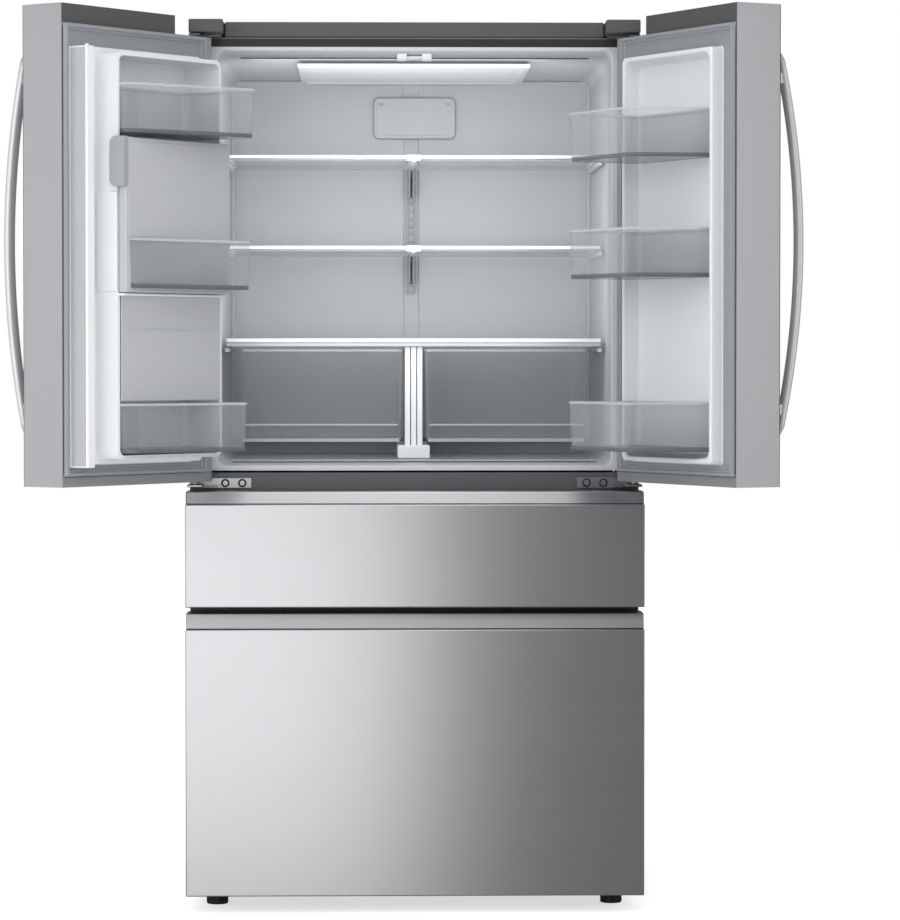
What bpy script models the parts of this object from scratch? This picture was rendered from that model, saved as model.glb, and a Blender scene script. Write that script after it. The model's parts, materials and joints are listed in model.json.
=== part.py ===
"""French door refrigerator with two drawers, in metres, +Z up, front towards -Y.

Everything is laid out in the case's own frame first: X = 0 is the middle of the case, Y = 0 the
plane that the door seals close on, Z = 0 the floor. Door pieces are laid out on the shut door,
from the hinge axis, and an empty on that axis swings them open. One root empty then moves the
whole refrigerator so that the origin is the middle of its footprint, doors open.
"""
import math

import bmesh
import bpy
from mathutils import Matrix, Vector

MM = 0.001

# ---- driving sizes, in millimetres ---------------------------------------------------------
CASE_WIDTH = 905.0
CASE_DEPTH = 745.0
CASE_TOP = 1750.0
CASE_BOTTOM = 38.0
SHEET = 2.0             # steel of the case
PLASTIC = 3.0           # wall of the moulded liners
GAP = 0.5               # between pieces that touch

FRIDGE_FLOOR = 891.0    # lower edge of the fresh food opening
FRIDGE_CEILING = 1724.0
OPENING_HALF = 396.0    # half the clear width of every compartment
LINER_DRAFT = 8.0       # each side wall leans in this much at the back
CEILING_LIP = 12.0      # the ceiling drops this much just behind the opening
DUCT_THICK = 20.0       # the rear air duct panel

RAIL_TOP = 880.0        # front rail between fresh food and the drawers
RAIL_BOTTOM = 840.0
RAIL_DEPTH = 25.0

DOOR_WIDTH = 450.0
DOOR_THICK = 100.0
DOOR_BOTTOM = 860.0
DOOR_TOP = 1782.0
DOOR_GAP = 10.0         # shut door to case, filled by the seal
SEAL_WIDE = 12.0
SEAL_IN = 2.0           # seal's outer edge, from the door's free edge
DOOR_SHEET = 1.5
HINGE_IN = 14.0         # hinge axis in from the door's hinge edge
HINGE_FORWARD = 32.0    # hinge axis in front of the door's inner face
LEFT_OPEN = 126.8       # rest angles, degrees
RIGHT_OPEN = 116.5
NOTCH_LENGTH = 112.0    # the door top is cut down here, under the hinge cover
CAP_HEIGHT = 36.0
BOTTOM_CAP_HEIGHT = 20.0
PIN_RADIUS = 5.5
PIN_CLEARANCE = 1.0

DIKE_HINGE = 48.0       # hinge side of the raised ring on the door liner, from the hinge axis
DIKE_FREE = 388.0       # free side of it
DIKE_HIGH = 26.0        # its height above the door's inner face
DIKE_WALL = 9.0
LEFT_WALL_HIGH = 78.0   # the left door's second, higher wall round the ice compartment
LEFT_WALL_FREE = 367.0
RECESS_DEEP = 10.0      # floor of the liner's pocket, behind the door's inner face

BIN_WALL = 3.0
BIN_HIGH = 96.0
BIN_REACH = 157.0       # front of the door bins, from the door's inner face
TOP_BIN_REACH = 178.0   # the left door's top bin reaches in over the upper shelf
LOW_BIN = 924.0         # floor of the lowest left bin

ICE_BOTTOM = 1230.0     # ice compartment in the left door
ICE_TOP = 1530.0
ICE_DOOR_THICK = 20.0
DISPENSER_TOP = 1300.0
DISPENSER_LEFT = 125.0  # from the hinge axis
DISPENSER_RIGHT = 305.0
DISPENSER_DEEP = 75.0

MULLION_WIDTH = 50.0
MULLION_BACK = 10.5     # the part of its width on the door side of its pivot
MULLION_THICK = 20.0
MULLION_BOTTOM = 898.0
MULLION_TOP = 1700.0
PIN_HIGH = 4.0          # guide pin on top of the bar

HANDLE_TOP = 1693.0
HANDLE_BOTTOM = 958.0
HANDLE_REACH = 64.0     # handle's outermost line to the door face
HANDLE_THICK = 15.0
HANDLE_WIDTH = 24.0
HANDLE_IN = 26.0        # handle's centre line from the door's free edge
HANDLE_POST_IN = 50.0   # posts, in from the handle's ends

DRAWER_WIDTH = 914.0
DRAWER_SHEET = 1.5
FREEZER_BOTTOM = 35.0
FREEZER_TOP = 598.0
MIDDLE_BOTTOM = 611.0
MIDDLE_TOP = 841.0
MIDDLE_GRIP = 25.0      # height of the sloped strip above each drawer face
FREEZER_GRIP = 31.0
GRIP_DEEP = 15.0        # the finger channel goes this far down behind the face's top edge
GRIP_RUN = 29.0         # depth of the channel from the face
LIP_THICK = 5.0

TUB_WALL = 3.0
TUB_CLEAR = 14.0        # tubs to the compartment's side walls, for the slides
MIDDLE_TUB_HIGH = 165.0
FREEZER_TUB_HIGH = 400.0
MACHINE_TOP = 300.0     # machine compartment at the bottom rear
MACHINE_DEEP = 275.0

SHELF_FRONT = 150.0
SHELF_THICK = 7.0
SHELF_MIDDLE_GAP = 3.0
UPPER_SHELF = 1522.0    # top faces
MIDDLE_SHELF = 1336.0
COVER_TOP = 1147.0
COVER_THICK = 16.0
SHELF_SIDE = 4.0        # shelves to the liner's side walls

CRISPER_BOTTOM = 934.0
CRISPER_HIGH = 193.0
CRISPER_IN = 22.0       # inner side, from the middle
CRISPER_OUT = 358.0
CRISPER_WALL = 3.0

FOOT_X = 400.0
FOOT_Y = 45.0
FOOT_RADIUS = 22.0
ROLLER_RADIUS = 18.0
ROLLER_WIDTH = 24.0

COMPRESSOR_X = 220.0
COMPRESSOR_RADIUS = 85.0
COMPRESSOR_HIGH = 175.0

# ---- derived places ------------------------------------------------------------------------
CASE_HALF = CASE_WIDTH / 2
LINER_DEPTH = CASE_DEPTH - 105      # room for foam and the back panel behind the liners
DUCT_FRONT = LINER_DEPTH - 60
SHELF_REAR = LINER_DEPTH - 100
MACHINE_FRONT = CASE_DEPTH - MACHINE_DEEP
MIDDLE_TUB_DEPTH = LINER_DEPTH - 120
FREEZER_TUB_DEPTH = MACHINE_FRONT - 40
COMPRESSOR_Y = CASE_DEPTH - MACHINE_DEEP / 2
ROLLER_Y = CASE_DEPTH - 55
HINGE_X = CASE_HALF + 1.5 - HINGE_IN
HINGE_Y = -(DOOR_GAP + HINGE_FORWARD)
INNER = HINGE_FORWARD               # door's inner face, from the hinge axis
OUTER = INNER - DOOR_THICK          # door's outer face
EDGE_HINGE = -HINGE_IN
EDGE_FREE = DOOR_WIDTH - HINGE_IN
CAP_BOTTOM = DOOR_TOP - CAP_HEIGHT
LINER_BOTTOM = DOOR_BOTTOM + BOTTOM_CAP_HEIGHT
DIKE_BOTTOM = FRIDGE_FLOOR + 12
DIKE_TOP = FRIDGE_CEILING - CEILING_LIP - 10
POCKET_BOTTOM = DIKE_BOTTOM + 2 * DIKE_WALL
POCKET_TOP = DIKE_TOP - 2 * DIKE_WALL
POCKET_FLOOR = INNER - RECESS_DEEP
DRAWER_FACE = -(DOOR_GAP + DOOR_THICK)
BAR_HINGE_X = EDGE_FREE - 16        # flip bar's pivot, from the left hinge axis
BAR_HINGE_Y = INNER + 12.0
DISPENSER_BOTTOM = LOW_BIN + BIN_HIGH + 15
HANDLE_END = HANDLE_THICK + 2       # handle's outermost line to the face, at its two ends

SCENE_PARTS = "french_door_refrigerator"
SCENE_CUTTERS = "cutters"


# ---- set-up ----------------------------------------------------------------------------------
for old in list(bpy.data.objects):
    bpy.data.objects.remove(old, do_unlink=True)
parts = bpy.data.collections.new(SCENE_PARTS)
cutters = bpy.data.collections.new(SCENE_CUTTERS)
bpy.context.scene.collection.children.link(parts)
bpy.context.scene.collection.children.link(cutters)


def material(name, colour, roughness, metallic=0.0, alpha=1.0):
    """A plain Principled material; the same name gives the same material."""
    found = bpy.data.materials.get(name)
    if found:
        return found
    made = bpy.data.materials.new(name)
    made.use_nodes = True
    shader = made.node_tree.nodes["Principled BSDF"]
    shader.inputs["Base Color"].default_value = (*colour, 1.0)
    shader.inputs["Roughness"].default_value = roughness
    shader.inputs["Metallic"].default_value = metallic
    shader.inputs["Alpha"].default_value = alpha
    return made


STEEL = material("brushed_stainless", (0.62, 0.62, 0.63), 0.32, 1.0)
CASE_PAINT = material("case_paint", (0.36, 0.37, 0.38), 0.5)
PLATED = material("plated_steel", (0.42, 0.42, 0.43), 0.4, 1.0)
WHITE = material("white_abs", (0.82, 0.83, 0.84), 0.35)
LINER = material("liner_grey", (0.62, 0.63, 0.65), 0.4)
DARK = material("dark_grey_abs", (0.13, 0.13, 0.14), 0.45)
MID = material("mid_grey_abs", (0.25, 0.25, 0.26), 0.45)
BLACK = material("black_plastic", (0.02, 0.02, 0.02), 0.5)
CLEAR = material("clear_styrene", (0.85, 0.87, 0.9), 0.1, 0.0, 0.35)
GLASS = material("shelf_glass", (0.8, 0.86, 0.86), 0.05, 0.0, 0.4)
RUBBER = material("seal_vinyl", (0.7, 0.71, 0.72), 0.6)
CHROME = material("satin_handle", (0.8, 0.8, 0.81), 0.18, 1.0)


# ---- empties: the root, the hinges and the slides -----------------------------------------
def empty(name, location, parent=None, turn=0.0):
    made = bpy.data.objects.new(name, None)
    made.location = Vector(location) * MM
    made.rotation_euler = (0, 0, math.radians(turn))
    made.parent = parent
    parts.objects.link(made)
    return made


def swung(side, along, depth, angle):
    """A door point, given from its hinge axis, in the case's frame at an open angle."""
    turn = math.radians(angle)
    x = -HINGE_X + along * math.cos(turn) + depth * math.sin(turn)
    y = HINGE_Y - along * math.sin(turn) + depth * math.cos(turn)
    return side * -x, y


def footprint_middle():
    """Middle of the ground covered by the case, the open doors and their handles."""
    xs = []
    ys = [CASE_DEPTH]
    for side, angle in ((-1, LEFT_OPEN), (1, RIGHT_OPEN)):
        for along, depth in ((EDGE_FREE, OUTER), (EDGE_FREE, INNER),
                             (EDGE_FREE - SEAL_IN, INNER + DOOR_GAP - GAP),
                             (EDGE_FREE - HANDLE_IN, OUTER - HANDLE_REACH)):
            x, y = swung(side, along, depth, angle)
            xs.append(x)
            ys.append(y)
    return (min(xs) + max(xs)) / 2, (min(ys) + max(ys)) / 2


middle_x, middle_y = footprint_middle()
root = empty("origin", (-middle_x, -middle_y, 0))
left_hinge = empty("left_hinge_axis", (-HINGE_X, HINGE_Y, 0), root, -LEFT_OPEN)
right_hinge = empty("right_hinge_axis", (HINGE_X, HINGE_Y, 0), root, RIGHT_OPEN)
bar_hinge = empty("flip_bar_axis", (BAR_HINGE_X, BAR_HINGE_Y, 0), left_hinge)
ICE_HINGE_X = DIKE_HINGE + DIKE_WALL
ICE_HINGE_Y = INNER + LEFT_WALL_HIGH + ICE_DOOR_THICK / 2 + 2
ice_hinge = empty("ice_door_axis", (ICE_HINGE_X, ICE_HINGE_Y, 0), left_hinge)
PADDLE_TOP = DISPENSER_TOP - 95
PADDLE_Y = OUTER + DISPENSER_DEEP * 0.62
paddle_hinge = empty(
    "paddle_axis", ((DISPENSER_LEFT + DISPENSER_RIGHT) / 2, PADDLE_Y, PADDLE_TOP), left_hinge)
slides = {name: empty(name + "_slide", (0, 0, 0), root)
          for name in ("middle_drawer", "freezer_drawer", "crisper_left", "crisper_right")}


# ---- mesh helpers, all in millimetres ------------------------------------------------------
def finish(name, bm, look, parent, collection=parts):
    """Turn a bmesh in millimetres into an object in metres."""
    bmesh.ops.scale(bm, vec=(MM, MM, MM), verts=bm.verts)
    mesh = bpy.data.meshes.new(name)
    bm.to_mesh(mesh)
    bm.free()
    mesh.materials.append(look)
    made = bpy.data.objects.new(name, mesh)
    made.parent = parent
    collection.objects.link(made)
    return made


def cube(bm, low, high):
    """A box between two corners, added to a bmesh."""
    size = [b - a for a, b in zip(low, high)]
    centre = [(a + b) / 2 for a, b in zip(low, high)]
    place = Matrix.Translation(centre) @ Matrix.Diagonal((*size, 1.0))
    return bmesh.ops.create_cube(bm, size=1.0, matrix=place)["verts"]


def box(name, low, high, look, parent, bevel=0.0):
    bm = bmesh.new()
    cube(bm, low, high)
    made = finish(name, bm, look, parent)
    if bevel:
        soften(made, bevel)
    return made


def soften(made, width, segments=1):
    edge = made.modifiers.new("edge", "BEVEL")
    edge.width = width * MM
    edge.segments = segments
    edge.limit_method = "ANGLE"
    edge.angle_limit = math.radians(40)


def thicken(made, wall, in_front=False):
    """Give an open surface a wall, behind its faces or in front of them."""
    shell = made.modifiers.new("wall", "SOLIDIFY")
    shell.thickness = wall * MM
    shell.offset = 1.0 if in_front else -1.0
    shell.solidify_mode = "NON_MANIFOLD"
    shell.nonmanifold_thickness_mode = "CONSTRAINTS"


def open_box(name, low, high, gone, wall, look, parent):
    """A box without the faces that look along the given axes, with walls inside it."""
    bm = bmesh.new()
    cube(bm, low, high)
    bm.normal_update()
    loose = [f for f in bm.faces if any(f.normal.dot(Vector(axis)) > 0.9 for axis in gone)]
    bmesh.ops.delete(bm, geom=loose, context="FACES")
    made = finish(name, bm, look, parent)
    thicken(made, wall)
    return made


def loft(name, rings, wall, look, parent, in_front=False):
    """A moulded panel: each ring joins the next, the last one is filled, the first stays open.

    Rings run anticlockwise as seen from the hollow, so the faces look into it, and the wall lies
    behind them unless in_front is set.
    """
    bm = bmesh.new()
    loops = [[bm.verts.new(point) for point in ring] for ring in rings]
    for a, b in zip(loops, loops[1:]):
        for i in range(len(a)):
            j = (i + 1) % len(a)
            bm.faces.new((a[i], a[j], b[j], b[i]))
    bm.faces.new(loops[-1])
    made = finish(name, bm, look, parent)
    thicken(made, wall, in_front)
    return made


def front_ring(x0, x1, z0, z1, y):
    """A rectangle that faces the front, anticlockwise seen from the front."""
    return [(x0, y, z0), (x1, y, z0), (x1, y, z1), (x0, y, z1)]


def door_ring(side, along0, along1, z0, z1, depth):
    """A rectangle on a door that faces into the refrigerator."""
    if side > 0:
        along0, along1 = along1, along0
    return [(-side * along0, depth, z0), (-side * along0, depth, z1),
            (-side * along1, depth, z1), (-side * along1, depth, z0)]


def cutter(name, low, high, parent):
    bm = bmesh.new()
    cube(bm, low, high)
    return hide_cutter(finish(name, bm, BLACK, parent, cutters))


def hide_cutter(made):
    made.hide_render = True
    made.display_type = "WIRE"
    return made


def round_cutter(name, centre, radius, z0, z1, parent):
    bm = bmesh.new()
    place = Matrix.Translation((centre[0], centre[1], (z0 + z1) / 2))
    bmesh.ops.create_cone(bm, cap_ends=True, segments=16, radius1=radius, radius2=radius,
                          depth=z1 - z0, matrix=place)
    return hide_cutter(finish(name, bm, BLACK, parent, cutters))


def combine(made, other, how="DIFFERENCE"):
    tool = made.modifiers.new(how.lower(), "BOOLEAN")
    tool.operation = how
    tool.solver = "EXACT"
    tool.object = other


def outline(name, points, place, half, look, parent):
    """A flat outline given as (a, b) points, made solid by half its width either way."""
    curve = bpy.data.curves.new(name, "CURVE")
    curve.dimensions = "2D"
    curve.fill_mode = "BOTH"
    curve.extrude = half
    line = curve.splines.new("POLY")
    line.points.add(len(points) - 1)
    for at, point in zip(line.points, points):
        at.co = (point[0], point[1], 0, 1)
    line.use_cyclic_u = True
    holder = bpy.data.objects.new(name + "_curve", curve)
    cutters.objects.link(holder)
    mesh = bpy.data.meshes.new_from_object(
        holder.evaluated_get(bpy.context.evaluated_depsgraph_get()))
    bpy.data.objects.remove(holder)
    bm = bmesh.new()
    bm.from_mesh(mesh)
    bpy.data.meshes.remove(mesh)
    bmesh.ops.remove_doubles(bm, verts=bm.verts, dist=0.0001)
    bmesh.ops.transform(bm, matrix=place, verts=bm.verts)
    bmesh.ops.recalc_face_normals(bm, faces=bm.faces)
    return finish(name, bm, look, parent)


def turned(name, profile, centre, look, parent, steps=24):
    """A profile of (radius, height) points, top to bottom, turned about a standing axis."""
    bm = bmesh.new()
    points = [bm.verts.new((r, 0, z)) for r, z in profile]
    for a, b in zip(points, points[1:]):
        bm.edges.new((a, b))
    made = finish(name, bm, look, parent)
    made.location = Vector(centre) * MM
    screw = made.modifiers.new("turn", "SCREW")
    screw.steps = steps
    screw.render_steps = steps
    screw.use_merge_vertices = True
    screw.merge_threshold = 0.0001
    return made


# ---- cabinet -------------------------------------------------------------------------------
def case_pieces():
    open_box("outer_case", (-CASE_HALF, 0, CASE_BOTTOM), (CASE_HALF, CASE_DEPTH, CASE_TOP),
             ((0, 0, -1), (0, -1, 0), (0, 1, 0)), SHEET, CASE_PAINT, root)
    inside = CASE_HALF - SHEET - GAP
    back_y = CASE_DEPTH - SHEET
    box("back_panel", (-inside, back_y, MACHINE_TOP - 10),
        (inside, CASE_DEPTH, CASE_TOP - SHEET - GAP), CASE_PAINT, root)
    open_box("base_frame", (-inside, GAP, CASE_BOTTOM + GAP), (inside, back_y - GAP, 60),
             ((0, 0, 1),), SHEET, PLATED, root)
    machine_cover(inside, back_y)


def machine_cover(inside, back_y):
    """The pressed cover at the bottom rear, with a row of air slots."""
    low, high = 64.0, MACHINE_TOP - 14
    slots = 12
    pitch = (2 * inside - 160) / slots
    made = box("machine_cover", (-inside, back_y, low), (inside, CASE_DEPTH, high), PLATED, root)
    bm = bmesh.new()
    for i in range(slots):
        x = -inside + 80 + pitch * (i + 0.5)
        cube(bm, (x - 14, back_y - 5, low + 50), (x + 14, CASE_DEPTH + 5, high - 50))
    combine(made, hide_cutter(finish("air_slots", bm, BLACK, root, cutters)))


def liner_pieces():
    wide = CASE_HALF - SHEET - GAP
    half = OPENING_HALF
    back = half - LINER_DRAFT
    ceiling = FRIDGE_CEILING - CEILING_LIP
    loft("fridge_liner",
         (front_ring(-wide, wide, RAIL_TOP + GAP, CASE_TOP - SHEET - GAP, 0),
          front_ring(-half, half, FRIDGE_FLOOR, FRIDGE_CEILING, 0),
          front_ring(-half, half, FRIDGE_FLOOR + 4, ceiling, RAIL_DEPTH),
          front_ring(-back, back, FRIDGE_FLOOR + 8, ceiling - 6, LINER_DEPTH)),
         PLASTIC, LINER, root)
    lower_liner(wide, half)
    box("mid_rail", (-wide, 0, RAIL_BOTTOM + GAP), (wide, RAIL_DEPTH, RAIL_TOP - GAP - PLASTIC),
        DARK, root)
    split_low, split_high = FREEZER_TOP - 8, MIDDLE_BOTTOM + 4
    open_box("compartment_divider", (-half + PLASTIC, GAP, split_low),
             (half - PLASTIC, LINER_DEPTH - 60, split_high), ((0, 1, 0),), PLASTIC, BLACK, root)


def lower_liner(wide, half):
    """One moulding for both drawers, stepped over the machine compartment."""
    low, high = 75.0, RAIL_BOTTOM - 12
    place = Matrix(((0, 0, 1, 0), (1, 0, 0, 0), (0, 1, 0, 0), (0, 0, 0, 1)))
    profile = [(0, low), (MACHINE_FRONT - 15, low), (MACHINE_FRONT - 15, MACHINE_TOP + 10),
               (LINER_DEPTH, MACHINE_TOP + 10), (LINER_DEPTH, high), (0, high)]
    made = outline("lower_liner", profile, place, half, LINER, root)
    bm = bmesh.new()
    bm.from_mesh(made.data)
    bm.normal_update()
    mouth = [f for f in bm.faces if f.normal.y < -0.9 and f.calc_center_median().y < 1e-6]
    bmesh.ops.delete(bm, geom=mouth, context="FACES")
    rim = [e for e in bm.edges if e.is_boundary]
    grown = bmesh.ops.extrude_edge_only(bm, edges=rim)["geom"]
    for vert in (g for g in grown if isinstance(g, bmesh.types.BMVert)):
        vert.co.x = math.copysign(wide * MM, vert.co.x)
        vert.co.z = (RAIL_BOTTOM if vert.co.z > 0.4 else 64.0) * MM
    bm.to_mesh(made.data)
    bm.free()
    thicken(made, PLASTIC, in_front=True)


def top_pieces():
    """The cover strip on the case's front top edge, the hinges and their covers."""
    strip_half = CASE_HALF - 70 - GAP
    box("top_cover", (-strip_half, 0, CASE_TOP + GAP), (strip_half, 92, DOOR_TOP), MID, root, 3)
    for side, name in ((-1, "left"), (1, "right")):
        axis = side * HINGE_X
        inner = side * (CASE_HALF - 70)
        outer = side * (CASE_HALF - 2)
        x0, x1 = sorted((inner, outer))
        arm_top = CASE_TOP + 5
        plate = box("top_hinge_" + name, (x0 + 4, -20, CASE_TOP + GAP), (x1 - 4, 80, arm_top),
                    PLATED, root)
        arm = cutter("hinge_arm_" + name, (axis - 11, HINGE_Y - 9, CASE_TOP + GAP),
                     (axis + 11, 0, arm_top), root)
        pin = round_cutter("top_pin_" + name, (axis, HINGE_Y), PIN_RADIUS,
                           CAP_BOTTOM - 12, arm_top - 1, root)
        combine(plate, arm, "UNION")
        combine(plate, pin, "UNION")
        cover_y = HINGE_Y - 26
        box("hinge_cover_" + name, (x0, cover_y, arm_top + GAP), (x1, 92, DOOR_TOP), MID, root, 8)


def mid_hinge(side, name):
    """The bracket under a door: a plate on the rail, an arm forwards and a pin up."""
    axis = side * HINGE_X
    x0, x1 = sorted((side * 328.0, side * (CASE_HALF - 1)))
    low, high = MIDDLE_TOP + 4, DOOR_BOTTOM + 6
    plate = box("mid_hinge_" + name, (x0, -4, low), (x1, -GAP, high), PLATED, root)
    arm = cutter("mid_arm_" + name, (axis - 15, HINGE_Y - 22, low + 4), (axis + 15, -2, low + 9),
                 root)
    pin = round_cutter("mid_pin_" + name, (axis, HINGE_Y), PIN_RADIUS, low + 6,
                       DOOR_BOTTOM + 12, root)
    combine(plate, arm, "UNION")
    combine(plate, pin, "UNION")


def fridge_inside():
    ceiling = FRIDGE_CEILING - CEILING_LIP
    back = OPENING_HALF - LINER_DRAFT - 6
    box("air_duct", (-back, DUCT_FRONT, CRISPER_BOTTOM), (back, DUCT_FRONT + DUCT_THICK,
                                                           ceiling - 14), LINER, root)
    box("air_filter_cover", (-82, DUCT_FRONT - 12, 1580), (96, DUCT_FRONT - GAP, 1670), WHITE,
        root, 5)
    box("ceiling_lamp", (-236, 70, ceiling - 14), (236, SHELF_REAR, ceiling - 8), WHITE, root, 2)
    box("mullion_guide", (-35, RAIL_DEPTH + 1, MULLION_TOP + PIN_HIGH + 2),
        (35, RAIL_DEPTH + 21, ceiling - 1), WHITE, root, 1)
    side = OPENING_HALF - LINER_DRAFT - SHELF_SIDE
    for level, top in (("upper", UPPER_SHELF), ("middle", MIDDLE_SHELF)):
        for name, x0, x1 in (("left", -side, -SHELF_MIDDLE_GAP / 2),
                             ("right", SHELF_MIDDLE_GAP / 2, side)):
            box(f"{level}_shelf_{name}", (x0, SHELF_FRONT, top - SHELF_THICK),
                (x1, SHELF_REAR, top), GLASS, root, 1)
    box("crisper_cover", (-side, SHELF_FRONT - 15, COVER_TOP - COVER_THICK),
        (side, SHELF_REAR, COVER_TOP), GLASS, root, 1)
    box("crisper_divider", (-CRISPER_IN + 3, SHELF_FRONT, FRIDGE_FLOOR + 10),
        (CRISPER_IN - 3, SHELF_REAR, COVER_TOP - COVER_THICK - GAP), WHITE, root, 1)


def machine_pieces():
    floor = CASE_BOTTOM + GAP + SHEET
    radius = COMPRESSOR_RADIUS
    profile = [(0, COMPRESSOR_HIGH)]
    bend = 5
    for i in range(bend + 1):
        turn = math.radians(90 * i / bend)
        profile.append((radius - 30 + 30 * math.sin(turn),
                        COMPRESSOR_HIGH - 30 + 30 * math.cos(turn)))
    profile += [(radius, 30), (radius - 24, 8), (0, 8)]
    can = turned("compressor", profile, (COMPRESSOR_X, COMPRESSOR_Y, floor), BLACK, root)
    foot = cutter("compressor_feet", (COMPRESSOR_X - 95, COMPRESSOR_Y - 65, floor + GAP),
                  (COMPRESSOR_X + 95, COMPRESSOR_Y + 65, floor + 10), root)
    combine(can, foot, "UNION")
    for side, name in ((-1, "left"), (1, "right")):
        turned("front_foot_" + name,
               ((0, CASE_BOTTOM), (8, CASE_BOTTOM), (8, 22), (FOOT_RADIUS, 16),
                (FOOT_RADIUS, 2), (FOOT_RADIUS - 2, 0), (0, 0)),
               (side * FOOT_X, FOOT_Y, 0), BLACK, root, 20)
        wheel = bmesh.new()
        place = (Matrix.Translation((side * FOOT_X, ROLLER_Y, ROLLER_RADIUS))
                 @ Matrix.Rotation(math.pi / 2, 4, "Y"))
        bmesh.ops.create_cone(wheel, cap_ends=True, segments=24, radius1=ROLLER_RADIUS,
                              radius2=ROLLER_RADIUS, depth=ROLLER_WIDTH, matrix=place)
        finish("rear_roller_" + name, wheel, BLACK, root)


# ---- doors, laid out from the hinge axis, shut ---------------------------------------------
def door_box(side, along0, along1, depth0, depth1, z0, z1):
    """Two corners of a box on a door; side is -1 for the left door, 1 for the right."""
    x0, x1 = sorted((-side * along0, -side * along1))
    return (x0, depth0, z0), (x1, depth1, z1)


def door_pieces(side, name, hinge):
    skin = open_box(f"door_{name}_skin",
                    *door_box(side, EDGE_HINGE, EDGE_FREE, OUTER, INNER, DOOR_BOTTOM, DOOR_TOP),
                    ((0, 1, 0), (0, 0, 1), (0, 0, -1)), DOOR_SHEET, STEEL, hinge)
    notch_end = EDGE_HINGE + NOTCH_LENGTH
    combine(skin, cutter(f"notch_{name}", *door_box(side, EDGE_HINGE - 5, notch_end, OUTER - 5,
                                                    INNER + 5, CAP_BOTTOM, DOOR_TOP + 5), hinge))
    if side < 0:
        combine(skin, cutter("dispenser_hole",
                             *door_box(side, DISPENSER_LEFT - GAP, DISPENSER_RIGHT + GAP,
                                       OUTER - 5, OUTER + 5, DISPENSER_BOTTOM - GAP,
                                       DISPENSER_TOP + GAP), hinge))
    inset = DOOR_SHEET + GAP
    cap_in = (EDGE_HINGE + inset, EDGE_FREE - inset)
    behind = INNER - PLASTIC - GAP
    cap = box(f"door_{name}_top_cap",
              *door_box(side, *cap_in, OUTER + inset, behind, CAP_BOTTOM - 16, CAP_BOTTOM),
              DARK, hinge)
    combine(cap, cutter(f"cap_rise_{name}",
                        *door_box(side, notch_end + GAP, cap_in[1], OUTER + inset, INNER,
                                  CAP_BOTTOM - GAP, DOOR_TOP), hinge), "UNION")
    hole = PIN_RADIUS + PIN_CLEARANCE
    combine(cap, round_cutter(f"cap_hole_{name}", (0, 0), hole, CAP_BOTTOM - 30,
                              CAP_BOTTOM + 5, hinge))
    foot = box(f"door_{name}_bottom_cap",
               *door_box(side, *cap_in, OUTER + inset, INNER, DOOR_BOTTOM,
                         LINER_BOTTOM - GAP), DARK, hinge)
    combine(foot, round_cutter(f"foot_hole_{name}", (0, 0), hole, DOOR_BOTTOM - 5,
                               DOOR_BOTTOM + 15, hinge))
    door_liner(side, name, hinge)
    gasket(side, name, hinge)
    handle(side, name, hinge)


def door_liner(side, name, hinge):
    """The white moulding: a flat margin for the seal, the raised dike and the pocket."""
    inset = DOOR_SHEET + GAP
    top = INNER + DIKE_HIGH
    a0, a1 = DIKE_HINGE, DIKE_FREE
    b0, b1 = DIKE_HINGE + DIKE_WALL, DIKE_FREE - DIKE_WALL
    rings = [
        door_ring(side, EDGE_HINGE + inset, EDGE_FREE - inset, LINER_BOTTOM, CAP_BOTTOM - GAP,
                  INNER),
        door_ring(side, a0, a1, DIKE_BOTTOM, DIKE_TOP, INNER),
        door_ring(side, a0, a1, DIKE_BOTTOM, DIKE_TOP, top),
    ]
    if side < 0:
        high = INNER + LEFT_WALL_HIGH
        w1 = LEFT_WALL_FREE
        rings += [
            door_ring(side, a0 + 1, w1, DIKE_BOTTOM + DIKE_WALL, DIKE_TOP - DIKE_WALL, top),
            door_ring(side, a0 + 1, w1, DIKE_BOTTOM + DIKE_WALL, DIKE_TOP - DIKE_WALL, high),
            door_ring(side, b0, w1 - DIKE_WALL, POCKET_BOTTOM, POCKET_TOP, high),
            door_ring(side, b0, w1 - DIKE_WALL, POCKET_BOTTOM, POCKET_TOP, POCKET_FLOOR),
        ]
    else:
        rings += [
            door_ring(side, b0, b1, DIKE_BOTTOM + DIKE_WALL, DIKE_TOP - DIKE_WALL, top),
            door_ring(side, b0, b1 - 12, POCKET_BOTTOM, POCKET_TOP, POCKET_FLOOR),
        ]
    loft(f"door_{name}_liner", rings, PLASTIC, WHITE, hinge)


def gasket(side, name, hinge):
    """The magnetic seal: a square ring on the liner's margin."""
    depth0, depth1 = INNER + GAP, INNER + DOOR_GAP - GAP
    outer = (HINGE_IN - SEAL_IN, EDGE_FREE - SEAL_IN, LINER_BOTTOM + 1, CAP_BOTTOM - SEAL_IN)
    ring = box(f"door_{name}_gasket",
               *door_box(side, outer[0], outer[1], depth0, depth1, outer[2], outer[3]),
               RUBBER, hinge)
    combine(ring, cutter(f"gasket_hole_{name}",
                         *door_box(side, outer[0] + SEAL_WIDE, outer[1] - SEAL_WIDE, depth0 - 5,
                                   depth1 + 5, outer[2] + SEAL_WIDE, outer[3] - SEAL_WIDE),
                         hinge))


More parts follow.
